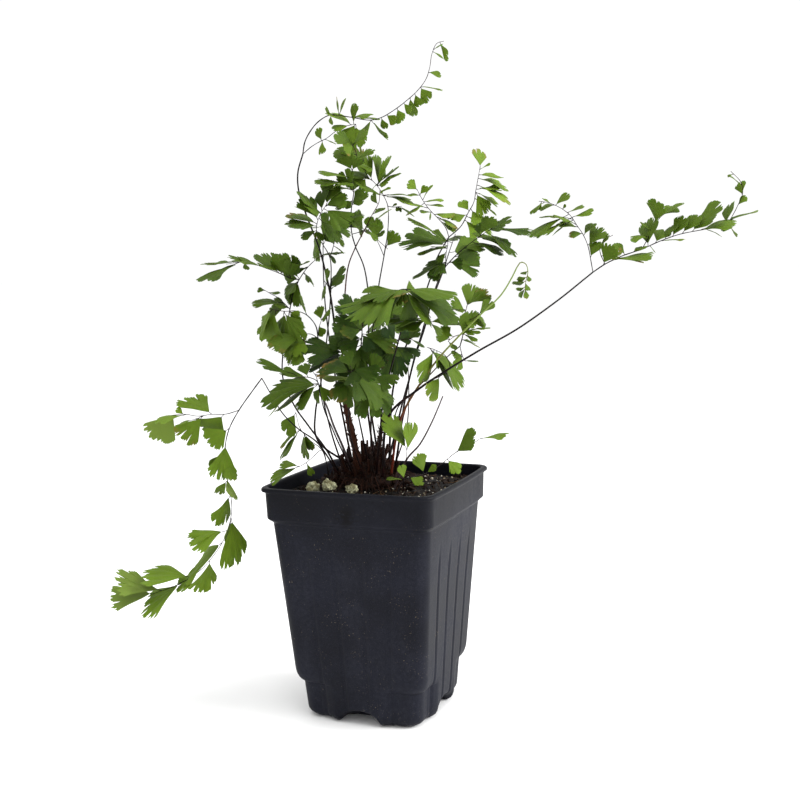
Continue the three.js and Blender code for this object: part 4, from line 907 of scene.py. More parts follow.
leafShape = {
    "columns": 45,
    "rows": 10,
    "thickness": 0.2,
    "stalk": 0.13,  # of the leaflet's length
    "longestStalk": 2,  # beside the bare share a leaflet may list
    "widest": 36,  # half spread in degrees, unless a leaflet is seen wider
    "margin": 1.06,  # reach of the middle, and how much less it is at the edges
    "marginFall": 0.13,
    "slits": (0.07, 0.14, 0.22, 0.36),  # depths the slits between lobes are drawn from
    "stalkRadii": (0.2, 0.13),
    # how far the sheet leaves its plane, as shares of its length
    "pleats": (0.012, 0.034),
    "cup": (-0.12, 0.28),
    "sag": (0.0, 0.22),
    "wave": 0.025,
    "curl": (-0.02, 0.06),
    "twist": (-0.25, 0.25),
}
twigShape = {
    "step": 1.2,
    "mainRadius": 0.32,  # of a frond's first branch
    "sideRadius": 0.22,
    "tipRadius": 0.13,
    "stipeRadius": 0.3,
    "stipeGain": 0.0024,  # longer stipes are thicker by this much of their length
}

# Every point is across, back and up in the fern's own frame, in millimetres. A branch is its line and its
# leaflets; it starts where the stipe ends or at a point of an earlier branch. A leaflet is its foot's place
# along the branch, its way across, back and up from foot to tip, half its spread in degrees as seen from the
# front, less than 0 where its underside shows, and sometimes the share of it that is bare stalk.
fronds = [
    {"name": "left_hanging", "face": (0.1, -1, 0.2),
     "stipe": [(-18.6, -3, 116.7), (-29.1, -4, 134.5), (-38.1, -5, 141.8), (-45.5, -7, 150.2),
               (-50.4, -8, 158.8), (-54.7, -10, 167.9)],
     "branches": [
         ([(-54.7, -10, 167.9), (-60.3, -10, 160.8), (-66.3, -11, 152.7), (-70.9, -12, 144.7),
           (-73.1, -12, 137.9), (-74, -12, 129.5), (-73.3, -13, 119.8), (-72.1, -13, 112.9),
           (-71.5, -13, 105.4), (-72.8, -13, 98), (-75.4, -14, 90.8), (-81.2, -14, 82), (-89.2, -15, 73.9),
           (-100.3, -15, 67.7), (-112.3, -15, 63.5)],
          [(0.22, -11, -3.3, -7.2, 38), (0.28, -0.6, -7.1, -18.6, 19), (0.31, -5.3, -3, -8.4, 24),
           (0.35, 5, -4.5, -9, 22), (0.41, 2.7, -5.1, -10.7, -15), (0.42, -6.6, 1.6, -7.2, 20),
           (0.47, -5.3, -3.2, -15.5, 14), (0.56, 3.5, -2.1, -25.3, 19), (0.57, -1.1, -1, -12.5, 12),
           (0.61, -18.7, -10.4, -2.2, 18, 0.05), (0.66, -23.7, 6.9, -17.4, 17),
           (0.74, -5.3, 4.2, -18.1, 20), (0.79, -12.3, -3.1, -9.3, 18), (0.84, -23.5, -2, 6.6, 14),
           (0.88, -20.1, -3.7, -12, 19), (0.96, -21.2, -5, 8, -14), (0.99, -23.1, 2.4, -2.6, -18)]),
         ([(-66.3, -11, 152.7), (-72.7, -11, 151), (-79.5, -11, 151.1), (-86.1, -12, 150.5),
           (-92.4, -12, 151.6), (-98.7, -12, 151.3)],
          [(0.23, -11.4, 6.7, -11.4, 36), (0.41, -13.2, 8, 9.3, 25), (0.53, -11.2, -2.5, -11.9, 33),
           (0.54, -11.7, -2.8, -3.4, 14, 0.4), (0.79, -14.4, -5.2, -1.8, 10), (0.83, -3.2, -0.5, 3.1, 25),
           (0.94, -13.2, 6.5, -12.1, -34)]),
     ]},
    {"name": "top_arch", "face": (-0.2, -1, 0.3),
     "stipe": [(-9.6, 7, 121.7), (-16.4, 12, 153.6), (-19.2, 14, 178.8), (-21.5, 15, 204), (-26.1, 15, 229),
               (-32.4, 14, 246.9), (-35.4, 13, 258.7), (-35.5, 13, 267.4), (-32.7, 12, 276)],
     "branches": [
         ([(-32.7, 12, 276), (-31.5, 12, 281.8), (-28.2, 11, 287.3), (-24.1, 10, 291.4), (-18.6, 9, 294),
           (-8.8, 8, 292.7), (0.9, 8, 291), (6.8, 7, 292.1), (12.7, 7, 295.3), (18.6, 7, 299.4),
           (24.6, 7, 304.5), (28.6, 7, 309.6), (30.6, 7, 315.2), (31.7, 7, 321.2), (34.3, 7, 326.3),
           (37.7, 7, 327.2)],
          [(0.25, -0.3, 1.5, -4.1, 24), (0.25, -2.5, 2.1, 3.6, 14), (0.29, -0.8, -1.9, 7.9, 7),
           (0.29, 2.9, 4, 8.2, 6), (0.35, 9.6, -1.8, 1, 18), (0.39, 8.9, 3.6, 1, 8),
           (0.45, -5.1, 0.2, -7.6, 24), (0.45, 6.6, -0.1, -9.3, 5), (0.5, 1.4, -0.1, -5.5, 26),
           (0.53, 3.6, -2, -3.7, 28), (0.59, 1.8, -2.1, -6.9, 26), (0.63, 3, -1.6, -4.6, 28),
           (0.67, 1.3, 3.9, -8.2, 26), (0.7, 1.6, -0.5, -6, 26), (0.74, 3.1, -2.9, -6.5, 34),
           (0.74, 9.8, 4.1, 1, 7), (0.82, 5.9, 0.7, -0.8, 30), (0.92, 5, 2.7, -2.2, 16),
           (0.93, 4.1, -1.9, 2.1, 16, 0.07), (0.98, 2.6, -3.2, -7.9, 8)]),
         ([(-32.7, 12, 276), (-28.6, 12, 279.3), (-24.5, 11, 281.5), (-20.5, 10, 283.2), (-15.9, 9, 286.3),
           (-10.9, 8, 288.4), (-6, 8, 289.3)],
          [(0.38, -2.6, -0.9, 5, 20), (0.39, -0.9, -1.4, -6.8, 20), (0.43, 5.5, 0.6, -1.9, 14),
           (0.9, -8.1, -2.3, -1.5, 26), (0.93, -9.7, 3.7, 7.3, 16), (0.97, -0.8, -2.1, 8.9, 22, 0.07),
           (1, -5.6, -0.9, -7.2, 34), (1, 0.3, -5, -11.1, 34)]),
     ]},
    {"name": "left_arch", "face": (-0.3, -0.9, 0.5),
     "stipe": [(-19.6, 3, 117.7), (-25.3, 3, 129.7), (-33.9, 4, 141.9), (-41, 4, 152.7), (-45.4, 3, 164.9),
               (-45.3, 2, 177.9), (-43.3, 1, 189.3), (-40.8, 0, 200.5)],
     "branches": [
         ([(-40.8, 0, 200.5), (-39.1, 0, 207.8), (-35.8, -1, 214.5), (-31.2, -1, 220.7), (-26.1, -2, 224.9),
           (-20.2, -2, 227.6)],
          [(0.4, -8, 4, -5, 20), (0.41, -4.3, 1.7, -11.2, 34), (0.43, -6.4, -2.1, 10, 26),
           (0.54, 5.2, 1.9, -5.2, 12, 0.11), (0.62, -5.3, 2.1, -1.5, 16), (0.96, 7.7, -1.8, 0.9, 12),
           (0.97, 4.2, 0.8, -4.4, 20)]),
         ([(-35.8, -1, 214.5), (-40, -2, 215.6), (-45.1, -4, 218.2), (-51.2, -5, 220.7), (-56.7, -6, 222.8),
           (-63.3, -7, 223.9), (-69.9, -8, 223.1)],
          [(0.12, 4, -4, 7.6, 18), (0.14, -5.4, -4.9, 10.1, 30), (0.21, -10.2, 6.3, 11.7, 24),
           (0.27, 11.3, 6.1, 5.2, 8, 0.06), (0.28, -9.7, 1.4, 7, 16), (0.53, -13.2, -6.1, 6.3, 13),
           (0.62, -6.6, -3.3, 4.1, 12), (0.73, -18.9, 4.7, 1.8, 9), (0.76, 0.7, 0.8, -3.7, 30),
           (0.82, -16.4, -9.8, -7.6, 9)]),
         ([(-40.8, 0, 200.5), (-43.5, -1, 203.6), (-46.8, -1, 206.6), (-50.1, -2, 208.6),
           (-53.4, -2, 210.6)],
          [(0.05, -7.4, 2.4, 4.5, 14), (0.13, -11, 5.3, -3.4, 26), (0.26, -15.4, 2.6, 1.3, 14),
           (0.8, 5, -0.7, -0.4, 20), (0.93, -3.3, -0.2, 0.7, 30)]),
     ]},
    {"name": "left_low", "face": (-0.3, -0.9, 0.4),
     "stipe": [(-15.6, -9, 117.7), (-22, -12, 141.9), (-24.6, -16, 157.1), (-25.8, -19, 171.9),
               (-26, -22, 187.3)],
     "branches": [
         ([(-26, -22, 187.3), (-26.8, -22, 193), (-30.8, -22, 198.2), (-35.4, -23, 200.3),
           (-41.5, -23, 200.4), (-47.4, -24, 201.6)],
          [(0.42, -3, -3.3, 8.5, 10), (0.7, 3.4, 0.4, -9.1, 22), (0.79, -3.2, 9.7, -19.9, 26),
           (0.92, -5.1, 5.4, -18.1, 28), (0.98, -8.2, 6.4, -10.4, 24)]),
         ([(-26, -22, 187.3), (-29.3, -22, 189.3), (-33, -23, 188.9), (-34.5, -23, 185.7)],
          [(0.63, -14.9, -6.8, -2.3, 27), (0.66, -3.5, 3.3, 5.9, 18), (0.71, -11, 1.5, -7.6, 24),
           (0.97, 2.8, -3, -4.8, 24, 0.07), (0.98, -4.2, -5.2, -10.5, 30)]),
         ([(-26, -22, 187.3), (-25.5, -21, 191.9), (-24, -20, 196.1)],
          [(0.63, 1.6, -1.6, -4.3, 38), (0.93, -1.5, 1.2, 6.2, 36), (1, 4.1, -1.6, 4.6, 18)]),
     ]},
    {"name": "front_left", "face": (-0.2, -0.6, 0.8),
     "stipe": [(-11.6, -11, 118.7), (-20.6, -20, 143), (-23.7, -32, 154.3), (-24.8, -38, 164.3)],
     "branches": [
         ([(-24.8, -38, 164.3), (-25.7, -42, 168.9), (-29.5, -46, 171.2), (-33.8, -48, 171.5)],
          [(0.09, -2.9, 2.9, -5.9, 30), (0.22, 4.9, 0, -6.9, 30), (0.24, -23.3, 9.3, -0.4, 20),
           (0.26, -21.4, 11.6, -7.9, 17), (0.27, -10.6, 0.7, -9.4, 22, 0.05), (0.72, -2.2, 1.8, 5.8, 34),
           (0.77, -10.8, -0.1, 3, 18), (1, -15.3, -4.4, 8, 9, 0.18)]),
         ([(-24.8, -38, 164.3), (-26.3, -40, 171), (-27.4, -42, 173.1)],
          [(0.77, 13.7, -4.5, -4.1, -10), (0.86, 22.6, 9, -8.1, -8)]),
     ]},
    {"name": "front_middle", "face": (0, -0.6, 0.8),
     "stipe": [(-6.6, -13, 118.7), (-12.8, -22, 142.1), (-12, -32, 154.9), (-11.9, -38, 164.9)],
     "branches": [
         ([(-11.9, -38, 164.9), (-10.5, -46, 170.3), (-9.1, -54, 174.6), (-9.7, -60, 176.9)],
          [(0.23, -7, -2.9, -7.3, 30), (0.31, -0.2, -0.3, -11.9, 34), (0.39, 8.5, 6.7, -13.5, 30),
           (0.63, 14.5, 8, -11.5, 26), (0.63, -13.7, 7.8, 4.3, 24), (0.75, 11.6, -5.6, -0.7, 28),
           (0.91, -3, 2.9, 6.6, 34)]),
         ([(-11.9, -38, 164.9), (-6.3, -38, 169.4), (-0.7, -38, 171.1)],
          [(0.78, -0.2, -5, -12.5, 30), (0.93, 6, -7.9, -17.4, 28), (1, 10.9, -3, -4.6, 26),
           (1, 3, -2.1, 8.3, 34)]),
     ]},
    {"name": "front_high", "face": (0.1, -0.6, 0.8),
     "stipe": [(-0.6, -12, 119.7), (4.3, -24, 157.3), (10.6, -36, 181.7), (14.7, -44, 197.9),
               (15.3, -48, 204.8)],
     "branches": [
         ([(15.3, -48, 204.8), (15.3, -52, 208), (15.3, -55, 209.8)],
          [(0.89, 2.9, 4.8, -12.6, 26), (0.89, -4.1, 3.8, -5.7, 24), (1, 22.1, 6.3, -10.5, 22),
           (1, 12.4, -0.3, -15.7, 18), (1, -10, 4.6, -10, 14), (1, -24.3, -13.5, -7.6, 14),
           (1, -17, -7.5, -2.9, 11), (1, 20.3, -7, -2.1, 16)]),
         ([(15.3, -48, 204.8), (21, -44, 199.1), (26.4, -42, 194.4)],
          [(0.93, -12.9, -6.3, -1.4, 12), (1, -20.2, -9.7, 4.5, 8), (1, 7.2, -0.8, 1.6, 22),
           (1, 5.3, 1.5, -5.7, 16)]),
     ]},
    {"name": "centre_low", "face": (0, -0.7, 0.7),
     "stipe": [(-4.6, -6, 123.7), (-9, -14, 154), (-7.2, -22, 171.6), (-5.7, -26, 183.7)],
     "branches": [
         ([(-5.7, -26, 183.7), (-5, -28, 189.4), (-4.8, -31, 194.7), (-6.4, -33, 199.4)],
          [(0.09, 1, -4.5, -13.7, 38), (0.14, -14.9, 5.3, 3.9, 26), (0.2, -9.1, -5.5, -4.5, 30),
           (0.26, 11.9, 3.6, -10, 28), (0.32, 15.3, 0.3, -2.3, 30), (0.44, -12.4, -1.8, 6, 26),
           (0.57, 9.7, 0.4, 6.2, 30), (0.77, 6.1, 1, 7.4, 28), (0.82, -9.2, 0.2, 8.9, 30)]),
         ([(-5.7, -26, 183.7), (-11, -26, 181.5), (-13.8, -26, 179.7)],
          [(0.51, -0.2, -5.4, -12.2, 34), (0.63, -7.2, -2.4, 5.5, 24), (0.84, -6.5, 5.4, -10.1, 30),
           (0.89, -18.1, -4.8, 4.5, 24), (0.96, -16.1, 7.9, -4.2, 20)]),
     ]},
    {"name": "centre_right", "face": (0.3, -0.7, 0.7),
     "stipe": [(3.4, -8, 120.7), (4.6, -16, 156.3), (8.4, -20, 171), (9.6, -23, 180.7)],
     "branches": [
         ([(9.6, -23, 180.7), (10.7, -25, 185.1), (14.5, -26, 186), (17.7, -27, 186)],
          [(0.18, 4.2, 7.2, -13.6, 26), (0.18, -5.3, -0.6, -13, 30), (0.22, 9.9, -3.2, -5.2, 24),
           (0.27, -8.9, 2, -3.8, 34), (0.37, -4.2, -3.9, 8.1, 34), (0.48, 6, 3.5, 4.3, 30),
           (0.96, 4.7, -2, 3.7, 26), (1, 6.5, -0.1, -3, 9)]),
     ]},
    {"name": "right_upper", "face": (0.2, -0.9, 0.5),
     "stipe": [(5.4, 4, 120.7), (9.6, 6, 163.6), (19.8, 8, 190.7), (27.8, 9, 211.2), (32.1, 10, 223.5),
               (38.2, 10, 233.6)],
     "branches": [
         ([(38.2, 10, 233.6), (44.3, 10, 238.8), (47.9, 10, 245.1), (50.9, 10, 250.4), (52, 10, 256.2),
           (53.1, 10, 261.5), (54.2, 10, 266.8)],
          [(0.3, 8.2, -4.7, -5.6, 22), (0.36, 12.9, 5.4, -6.5, 20), (0.38, -8.8, -3.9, -1.7, 24),
           (0.43, -3.4, 0.6, 5.1, 32), (0.47, 4.7, -3.4, -7.8, 34), (0.61, 10.9, 1.2, -7.1, 8),
           (0.69, 5.4, -0.1, -9.8, 34), (0.69, 11.7, 3.3, -5.6, 9), (0.73, 11.7, -0.5, 0.6, 14),
           (0.78, 16.4, -3.6, -6, 11), (0.87, 13.3, 6.6, -2.7, 15), (0.91, 10.8, 3.8, 0.5, 20),
           (0.98, 5, -0.5, 2.8, 6), (1, 0.3, 1.9, 9.3, 30)]),
         ([(38.2, 10, 233.6), (36.8, 9, 238), (33.4, 8, 242.4), (29.6, 8, 246.4), (26.2, 7, 250.8),
           (22.9, 7, 257.2)],
          [(0.32, 7.4, 0.7, -5, 18), (0.41, 10.1, -3.7, -3.8, 14), (0.48, 8.6, -4.3, -0.4, 14),
           (0.53, -5.9, -0.7, 0.6, 16), (0.55, -0.7, -0.5, -3.8, 14), (0.63, -11.8, 0.2, 3.1, 12),
           (0.69, 8.2, -1.7, 0.2, 9), (0.73, -8.4, -3.8, -5.2, 10), (0.75, 8.5, 3.4, 2, 14),
           (0.79, 4.2, 0.5, 7.2, 4), (0.88, -6, 1.1, 1.4, 16), (0.89, 2.5, -2.4, 4, 26),
           (0.98, -4, -0.8, 3.8, 34)]),
     ]},
    {"name": "right_fan", "face": (0.1, -0.8, 0.6),
     "stipe": [(8.4, -3, 119.7), (16.5, -6, 164.6), (24.3, -10, 189.1), (31, -12, 211), (35.4, -13, 219.4)],
     "branches": [
         ([(35.4, -13, 219.4), (40.2, -15, 224.4), (45.9, -16, 229), (51.6, -17, 233), (57.2, -18, 236.5)],
          [(0.1, 6.4, 1.7, -1.2, 34), (0.22, 10.8, -4, 1.8, 28), (0.42, 9.3, 1.2, 1.9, 24),
           (0.6, 15, -1.1, -4.2, 17), (0.72, 14.6, 3.6, -1.4, 16), (0.77, 3.9, -2.6, 8.9, 30),
           (0.89, 12.7, -6.6, -8.5, 7), (0.92, 9.9, 3.7, 5.8, 16), (0.97, 18, -4.2, -0.2, 13)]),
         ([(35.4, -13, 219.4), (35.5, -14, 225), (36.5, -15, 229.7), (36, -16, 232.5)],
          [(0.14, -14.7, 4.9, -4.8, 16), (0.35, -8.6, 3.7, -9.3, 26), (0.5, -4.5, 0.1, -4.7, 26),
           (0.63, -12.8, 4.1, 0.4, 16), (0.7, -18.1, 5.3, 8.7, 22), (0.86, -15.8, -9.8, 11.5, 9)]),
     ]},
    {"name": "centre_tall", "face": (0.2, -0.9, 0.4),
     "stipe": [(0.4, 8, 122.7), (-3.6, 11, 158.4), (-0.8, 13, 188.5), (2.9, 14, 211.3), (5.8, 15, 225.2)],
     "branches": [
         ([(5.8, 15, 225.2), (8.1, 15, 238), (8.4, 14, 249.7), (6.6, 13, 254.6), (4.3, 12, 258.5),
           (0.9, 12, 262.5), (-3, 12, 264.6)],
          [(0.68, 13.3, -3.4, -1.1, 9), (0.68, -13.4, -3.9, 6.7, 15), (0.69, 10.7, -5.3, 0.7, 7),
           (0.81, 2.6, 4.8, 12.9, 20), (0.81, 9.4, -0.3, 6.9, 12), (0.82, 8.7, 5.3, 8.5, 8),
           (0.82, 6.5, -4.2, 13.5, 7), (0.89, -10.5, 3.5, 6.6, 24), (0.9, -2.6, -2.1, 10.6, 24),
           (0.94, -6.6, -2.3, 14.9, 20), (0.97, -10, 0.4, -4.1, 30)]),
         ([(5.8, 15, 225.2), (3.4, 14, 231.2), (1.1, 13, 235.6)],
          [(0.83, 0.3, 0.8, 10.1, 34), (0.94, -4.1, -2.3, 3.6, 16)]),
         ([(8.4, 14, 249.7), (11.4, 12, 249.1), (15.4, 11, 249.4)],
          [(0.34, 2, 0.5, 1.8, 20), (0.6, 3, 1.4, -1.6, 24), (0.73, 7.4, 4.1, -3.1, 10)]),
     ]},
    {"name": "crossing_red", "face": (-0.1, -1, 0.2),
     "stipe": [(-8.6, 1, 124.7), (-16.8, 3, 159.7), (-15.6, 4, 184.4), (-14.4, 4, 204.1), (-11.4, 4, 221.6),
               (-7.7, 4, 230.3)],
     "branches": [
         ([(-7.7, 4, 230.3), (-3.6, 4, 237.5), (0.6, 4, 245.1), (4.2, 3, 251.2), (4.8, 3, 256.9)],
          [(0.29, -4.9, 3.4, 8.1, 20), (0.31, 4.5, 2.2, 3.4, 24), (0.36, 10.9, -3.3, 7.9, 5),
           (0.58, 5.2, 2.9, 3, 14), (0.77, -3.4, 1.6, 4.6, 24), (0.97, 4.5, -1.8, 2.1, 16)]),
         ([(-3.6, 4, 237.5), (-0.2, 3, 236.4), (3.2, 2, 232.9), (7.9, 1, 228.4)],
          [(0.48, 4, -1.7, 3.2, 20), (0.89, 6.8, -0.1, 4, 14), (0.93, 3.9, -3.9, 7.3, 28)]),
     ]},
    {"name": "crossing_dark", "face": (-0.2, -0.9, 0.4),
     "stipe": [(-1.6, -3, 124.7), (-4.7, -5, 160.2), (-2.3, -6, 189.5), (-2.2, -6, 208.9),
               (-3.8, -7, 220.4), (-7.3, -7, 229.1)],
     "branches": [
         ([(-7.3, -7, 229.1), (-9, -8, 235.8), (-9.3, -8, 243.4), (-8.5, -9, 249.9), (-7.4, -9, 256.4),
           (-8, -10, 264.8), (-5.4, -10, 271.7), (-7.6, -10, 278.3)],
          [(0.41, 5.9, 0.7, 7, 26), (0.45, -8, 0.4, -2, 26), (0.53, -5.3, -1.3, 9.3, 30),
           (0.55, -13.4, 2.5, 2.5, 14), (0.62, -15.9, -3.4, 1.1, 10), (0.66, -13.5, -4.3, 4.8, 14),
           (0.73, -4.6, -1.6, 8.4, 30), (0.79, 7.9, 4.3, -1.7, 26), (0.85, 8.1, 2.3, 3.7, 20),
           (0.88, -9.8, 1.6, 3.5, 26), (0.97, -6.8, -4.2, 5.7, 28), (0.98, 5.6, -3.3, 6.4, 22)]),
         ([(-9, -8, 235.8), (-5.2, -7, 236.7), (-0.4, -6, 238)],
          [(0.56, -4.7, -1.2, 4.5, 14), (0.9, 4.1, 0.8, -5.1, 22)]),
     ]},
    {"name": "upper_left", "face": (-0.2, -0.8, 0.6),
     "stipe": [(-11.6, -3, 121.7), (-29, -5, 136.1), (-29.3, -7, 150.3), (-26.4, -8, 163.6),
               (-23.3, -9, 180.6), (-21.3, -9, 196), (-19.9, -9, 209.4)],
     "branches": [
         ([(-19.9, -9, 209.4), (-19.8, -10, 224.7), (-23.4, -10, 231.9), (-25.6, -10, 235.7),
           (-25.3, -12, 240.8), (-23.1, -14, 245.8), (-20.1, -15, 249.9)],
          [(0.68, -6.8, -2.1, -2.7, 24), (0.68, 3.5, -0.4, -4.4, 30), (0.73, -12.9, -6.7, 2, 18),
           (0.75, -12, 3.4, 7, 16), (0.8, -5.3, -0.6, 11.1, 26), (0.83, 9.6, -1.3, -10.9, 24),
           (0.88, -9.3, -3.2, 9.3, 14), (0.91, -1, 2.7, 9.7, 26), (0.94, 11.4, -5.2, -6.8, 32),
           (0.97, 9.3, -1, 4.3, 34), (0.97, 4.7, 4.8, 11.5, 30)]),
         ([(-19.8, -10, 224.7), (-18.3, -9, 229.4), (-16.7, -8, 235), (-15.6, -8, 239.7)],
          [(0.39, 4.8, 2.4, -2.6, 14), (0.44, -4.5, -1.7, 4.8, 24), (0.7, 4, 2.3, -4.8, 22),
           (0.88, -5.8, 2, 4, 34), (0.94, 9.2, 4.2, 2.8, 24), (1, 8.8, 1, 7.4, 22)]),
         ([(-19.9, -9, 209.4), (-21.3, -8, 211.3), (-23.2, -8, 214.3)],
          [(0.07, 5.5, 3.1, 3.8, 7), (0.19, 6.9, -4.3, 8.1, 20), (0.58, -0.1, -1.9, 6.9, 14),
           (0.69, -2.5, -3.2, -6.9, 16)]),
     ]},
    {"name": "fiddlehead", "face": (0.3, -1, 0), "green": True,
     "stipe": [(6.4, -9, 118.7), (12.1, -13, 147), (25.6, -16, 169.2), (38.7, -18, 184.4),
               (50.7, -19, 195.9), (60.3, -20, 204.7), (65.6, -20, 212.5), (68.5, -20, 218)],
     "branches": [
         ([(68.5, -20, 218), (70.4, -20, 220.3), (72.7, -20, 219.3), (73.6, -20, 215.6), (72.6, -20, 211.4),
           (72.1, -20, 207.6)],
          [(0.51, -2.6, 1.6, -1.8, 24), (0.62, 1.1, 0, -2.9, 30), (0.67, -4.2, 0.6, -1.8, 24),
           (0.78, -5, 1.9, -2.3, 20), (0.84, 1.4, -0.9, -3.3, 24), (0.94, -3.8, 0.7, -1.8, 20),
           (1, 0.8, -0.7, -4.2, 30), (1, -2.9, -0.3, -3.6, 16)]),
     ]},
    {"name": "right_middle", "face": (0.3, -0.9, 0.3),
     "stipe": [(8.4, 3, 118.7), (16.3, 4, 153.6), (27.1, 5, 165.8), (36.3, 6, 174.9), (42.4, 6, 179.7)],
     "branches": [
         ([(42.4, 6, 179.7), (44, 6, 185.7), (44, 5, 191.7), (45.6, 4, 197.6), (47.1, 4, 202.5)],
          [(0.14, 8.8, -3.1, -2.6, 7), (0.18, 3.9, -2.7, 12.3, 32), (0.26, 7.1, -3.2, -2, 14),
           (0.31, 12, 2.1, 2.5, 8), (0.43, -10.6, 4.3, 4.1, 14), (0.57, 10.5, 3, 0.4, 26),
           (0.74, -5.3, -4.2, 7, 24), (0.78, -8.2, 3.4, 2, 14), (0.83, 3.6, 4.2, 10.6, 30),
           (0.91, 9, -1.7, 6.1, 24)]),
         ([(42.4, 6, 179.7), (43.2, 5, 175.8), (44.6, 5, 172.3)],
          [(0.52, -2.7, -1.9, -7.2, 26), (0.72, -5.6, -3, 2.8, 24), (0.98, 6.7, 2.3, -0.5, 8)]),
         ([(44, 6, 185.7), (39.9, 5, 184.8), (36.4, 4, 182.5)],
          [(0.58, -3.8, 1.5, 1.8, 24), (0.87, -4, 3.6, 7.2, 30), (1, 3.7, -1.9, -3.9, 24)]),
         ([(44, 5, 191.7), (49.4, 4, 193.5), (52.4, 3, 196)],
          [(0.71, 5.1, 2.2, -2.3, 22), (0.85, 6.8, -2.7, 5.8, 24)]),
     ]},
    {"name": "right_low", "face": (0.3, -0.9, 0.2),
     "stipe": [(7.4, -4, 117.7), (10.8, -8, 151.3), (19.7, -11, 159.7), (26.5, -13, 165.1)],
     "branches": [
         ([(26.5, -13, 165.1), (31.4, -14, 167), (36.2, -14, 170.7), (34.4, -14, 176.5), (29.7, -14, 179.5),
           (25.4, -14, 181.1)],
          [(0.19, -5.7, -4.8, -9.5, 28), (0.82, 1.2, -2.9, -8.2, 14), (0.87, -6.3, -7, -14.4, 17),
           (0.94, 12.5, 6.6, -17.4, 13), (0.98, 18.2, 5.3, -14.8, 12)]),
     ]},
    {"name": "right_long", "face": (-0.1, -0.9, 0.5),
     "stipe": [(2.4, -14, 118.7), (6.4, -18, 148.8), (21.5, -20, 162.1), (36, -20, 171.2),
               (51.3, -20, 179.9), (69.5, -20, 189.8), (87.9, -18, 202), (104.7, -17, 214.7)],
     "branches": [
         ([(104.7, -17, 214.7), (110.4, -17, 218.3), (118.4, -17, 221.9), (127.9, -17, 224.9),
           (136.4, -17, 228.4), (145.8, -17, 231.4), (155, -18, 233), (163, -18, 234.2),
           (168.1, -18, 236.4), (170.9, -18, 240.5), (173.2, -18, 245.1), (175, -18, 249.6),
           (174.1, -18, 254.7), (169.3, -18, 259.9)],
          [(0.06, 3.3, -4.4, 9.1, 32, 0.05), (0.11, 17.2, -3.1, 2.9, 9), (0.14, 11.3, -2.7, -0.3, 12),
           (0.18, -3.5, 1.6, 5.6, 26), (0.22, 5.6, 1.9, 2.9, 22), (0.3, 0.9, 4.8, 13.1, 20),
           (0.31, 2.5, -1.4, -3.2, 12), (0.34, 6, 4.8, 7.4, 28), (0.37, 10.5, -2.4, 1, 7),
           (0.39, 4.3, 2.6, 7.2, 20), (0.43, 5.1, -0.8, 9, 26), (0.48, 6, -2.9, 8.8, 20),
           (0.53, 8.7, -7.4, 11.2, 19), (0.57, 13.1, -4.9, 5, 16), (0.6, 7.3, 2.6, -2.4, 10),
           (0.7, 1.9, 2.9, 9.9, 13), (0.71, 4.2, 0.3, -6, 14), (0.71, -2.7, -0.7, -3.9, 20, 0.07),
           (0.72, 10.6, 5.3, 5.6, 12), (0.81, 3.6, -0.1, 4, 24), (0.86, -0.8, 3, 6.4, 26),
           (0.91, -5, 3.7, 5.1, 12), (0.98, -2.6, 0.9, -0.7, 14)]),
         ([(104.7, -17, 214.7), (104, -16, 219.9), (102.8, -15, 227), (100.6, -14, 232.7), (97.9, -13, 237),
           (95.3, -12, 241.4), (92, -12, 244.3), (87.9, -11, 246.8), (83.6, -11, 248.3),
           (80.4, -10, 248.9)],
          [(0.15, 3.1, -0.1, 7.9, 28), (0.28, 7.3, 2.9, 7.4, 22), (0.39, 4.4, 2.2, 6.1, 16),
           (0.41, -6.2, -0.4, 0.5, 26), (0.49, -8.4, 2.6, 2.8, 18), (0.52, -9.7, -2.8, 5.7, 14),
           (0.58, -9.8, 3.2, -5, 7), (0.59, -13.5, 6.7, 4, 12), (0.61, -15.8, -4.6, -6.7, 7),
           (0.61, 8, -3.8, 2.9, 8), (0.66, -18.1, 0.2, -9, 6), (0.68, 7.7, 0.6, 3.2, 9),
           (0.74, 1.1, -1.4, 2.1, 14), (0.82, 4.5, -2.4, 5.5, 22), (0.83, -6.2, 3.5, -0.2, 24),
           (0.88, -3, 1.8, 2.6, 20), (0.94, -6.7, -3.6, -3.9, 6), (0.97, -2.3, -2, -4.1, 9)]),
         ([(127.9, -17, 224.9), (131.9, -16, 231.4), (135.4, -15, 237.4), (138.5, -14, 241.1)],
          [(0.36, -8, 1, -0.1, 16), (0.5, -3.6, 3.2, 4.4, 22), (0.73, -1.5, -5.2, 9.3, 17),
           (0.93, 9.1, -2.8, 6.7, 9), (0.96, 7.4, 3.5, 4.7, 26)]),
         ([(110.4, -17, 218.3), (108.4, -15, 225), (110.5, -14, 229.6), (115, -13, 231.9)],
          [(0.24, 8, -4.1, 1.7, 28), (0.52, 3.2, -1.7, 5.5, 10)]),
     ]},
    {"name": "back_right", "face": (0.3, 0.5, 0.8),
     "stipe": [(4.4, 11, 118.7), (16.4, 26, 160.7), (28.4, 37, 197.7), (36.4, 43, 216.7)],
     "branches": [
         ([(36.4, 43, 216.7), (40.4, 50, 227.7), (43.4, 58, 234.7), (44.4, 67, 236.7)],
          [(0.15, 15.9, -2, 1.3, 36, 0.1), (0.36, 16, 6, 2.1, 42, 0.1), (0.57, -14.7, 7.5, 5.2, 30, 0.1),
           (0.79, 13.1, 3.4, -8.8, 44, 0.1), (1, -0.3, 13.2, -3.9, 38, 0.1)]),
     ]},
    {"name": "back_left", "face": (-0.3, 0.5, 0.8),
     "stipe": [(-12.6, 10, 118.7), (-20.6, 25, 160.7), (-25.6, 36, 200.7), (-26.6, 43, 221.7)],
     "branches": [
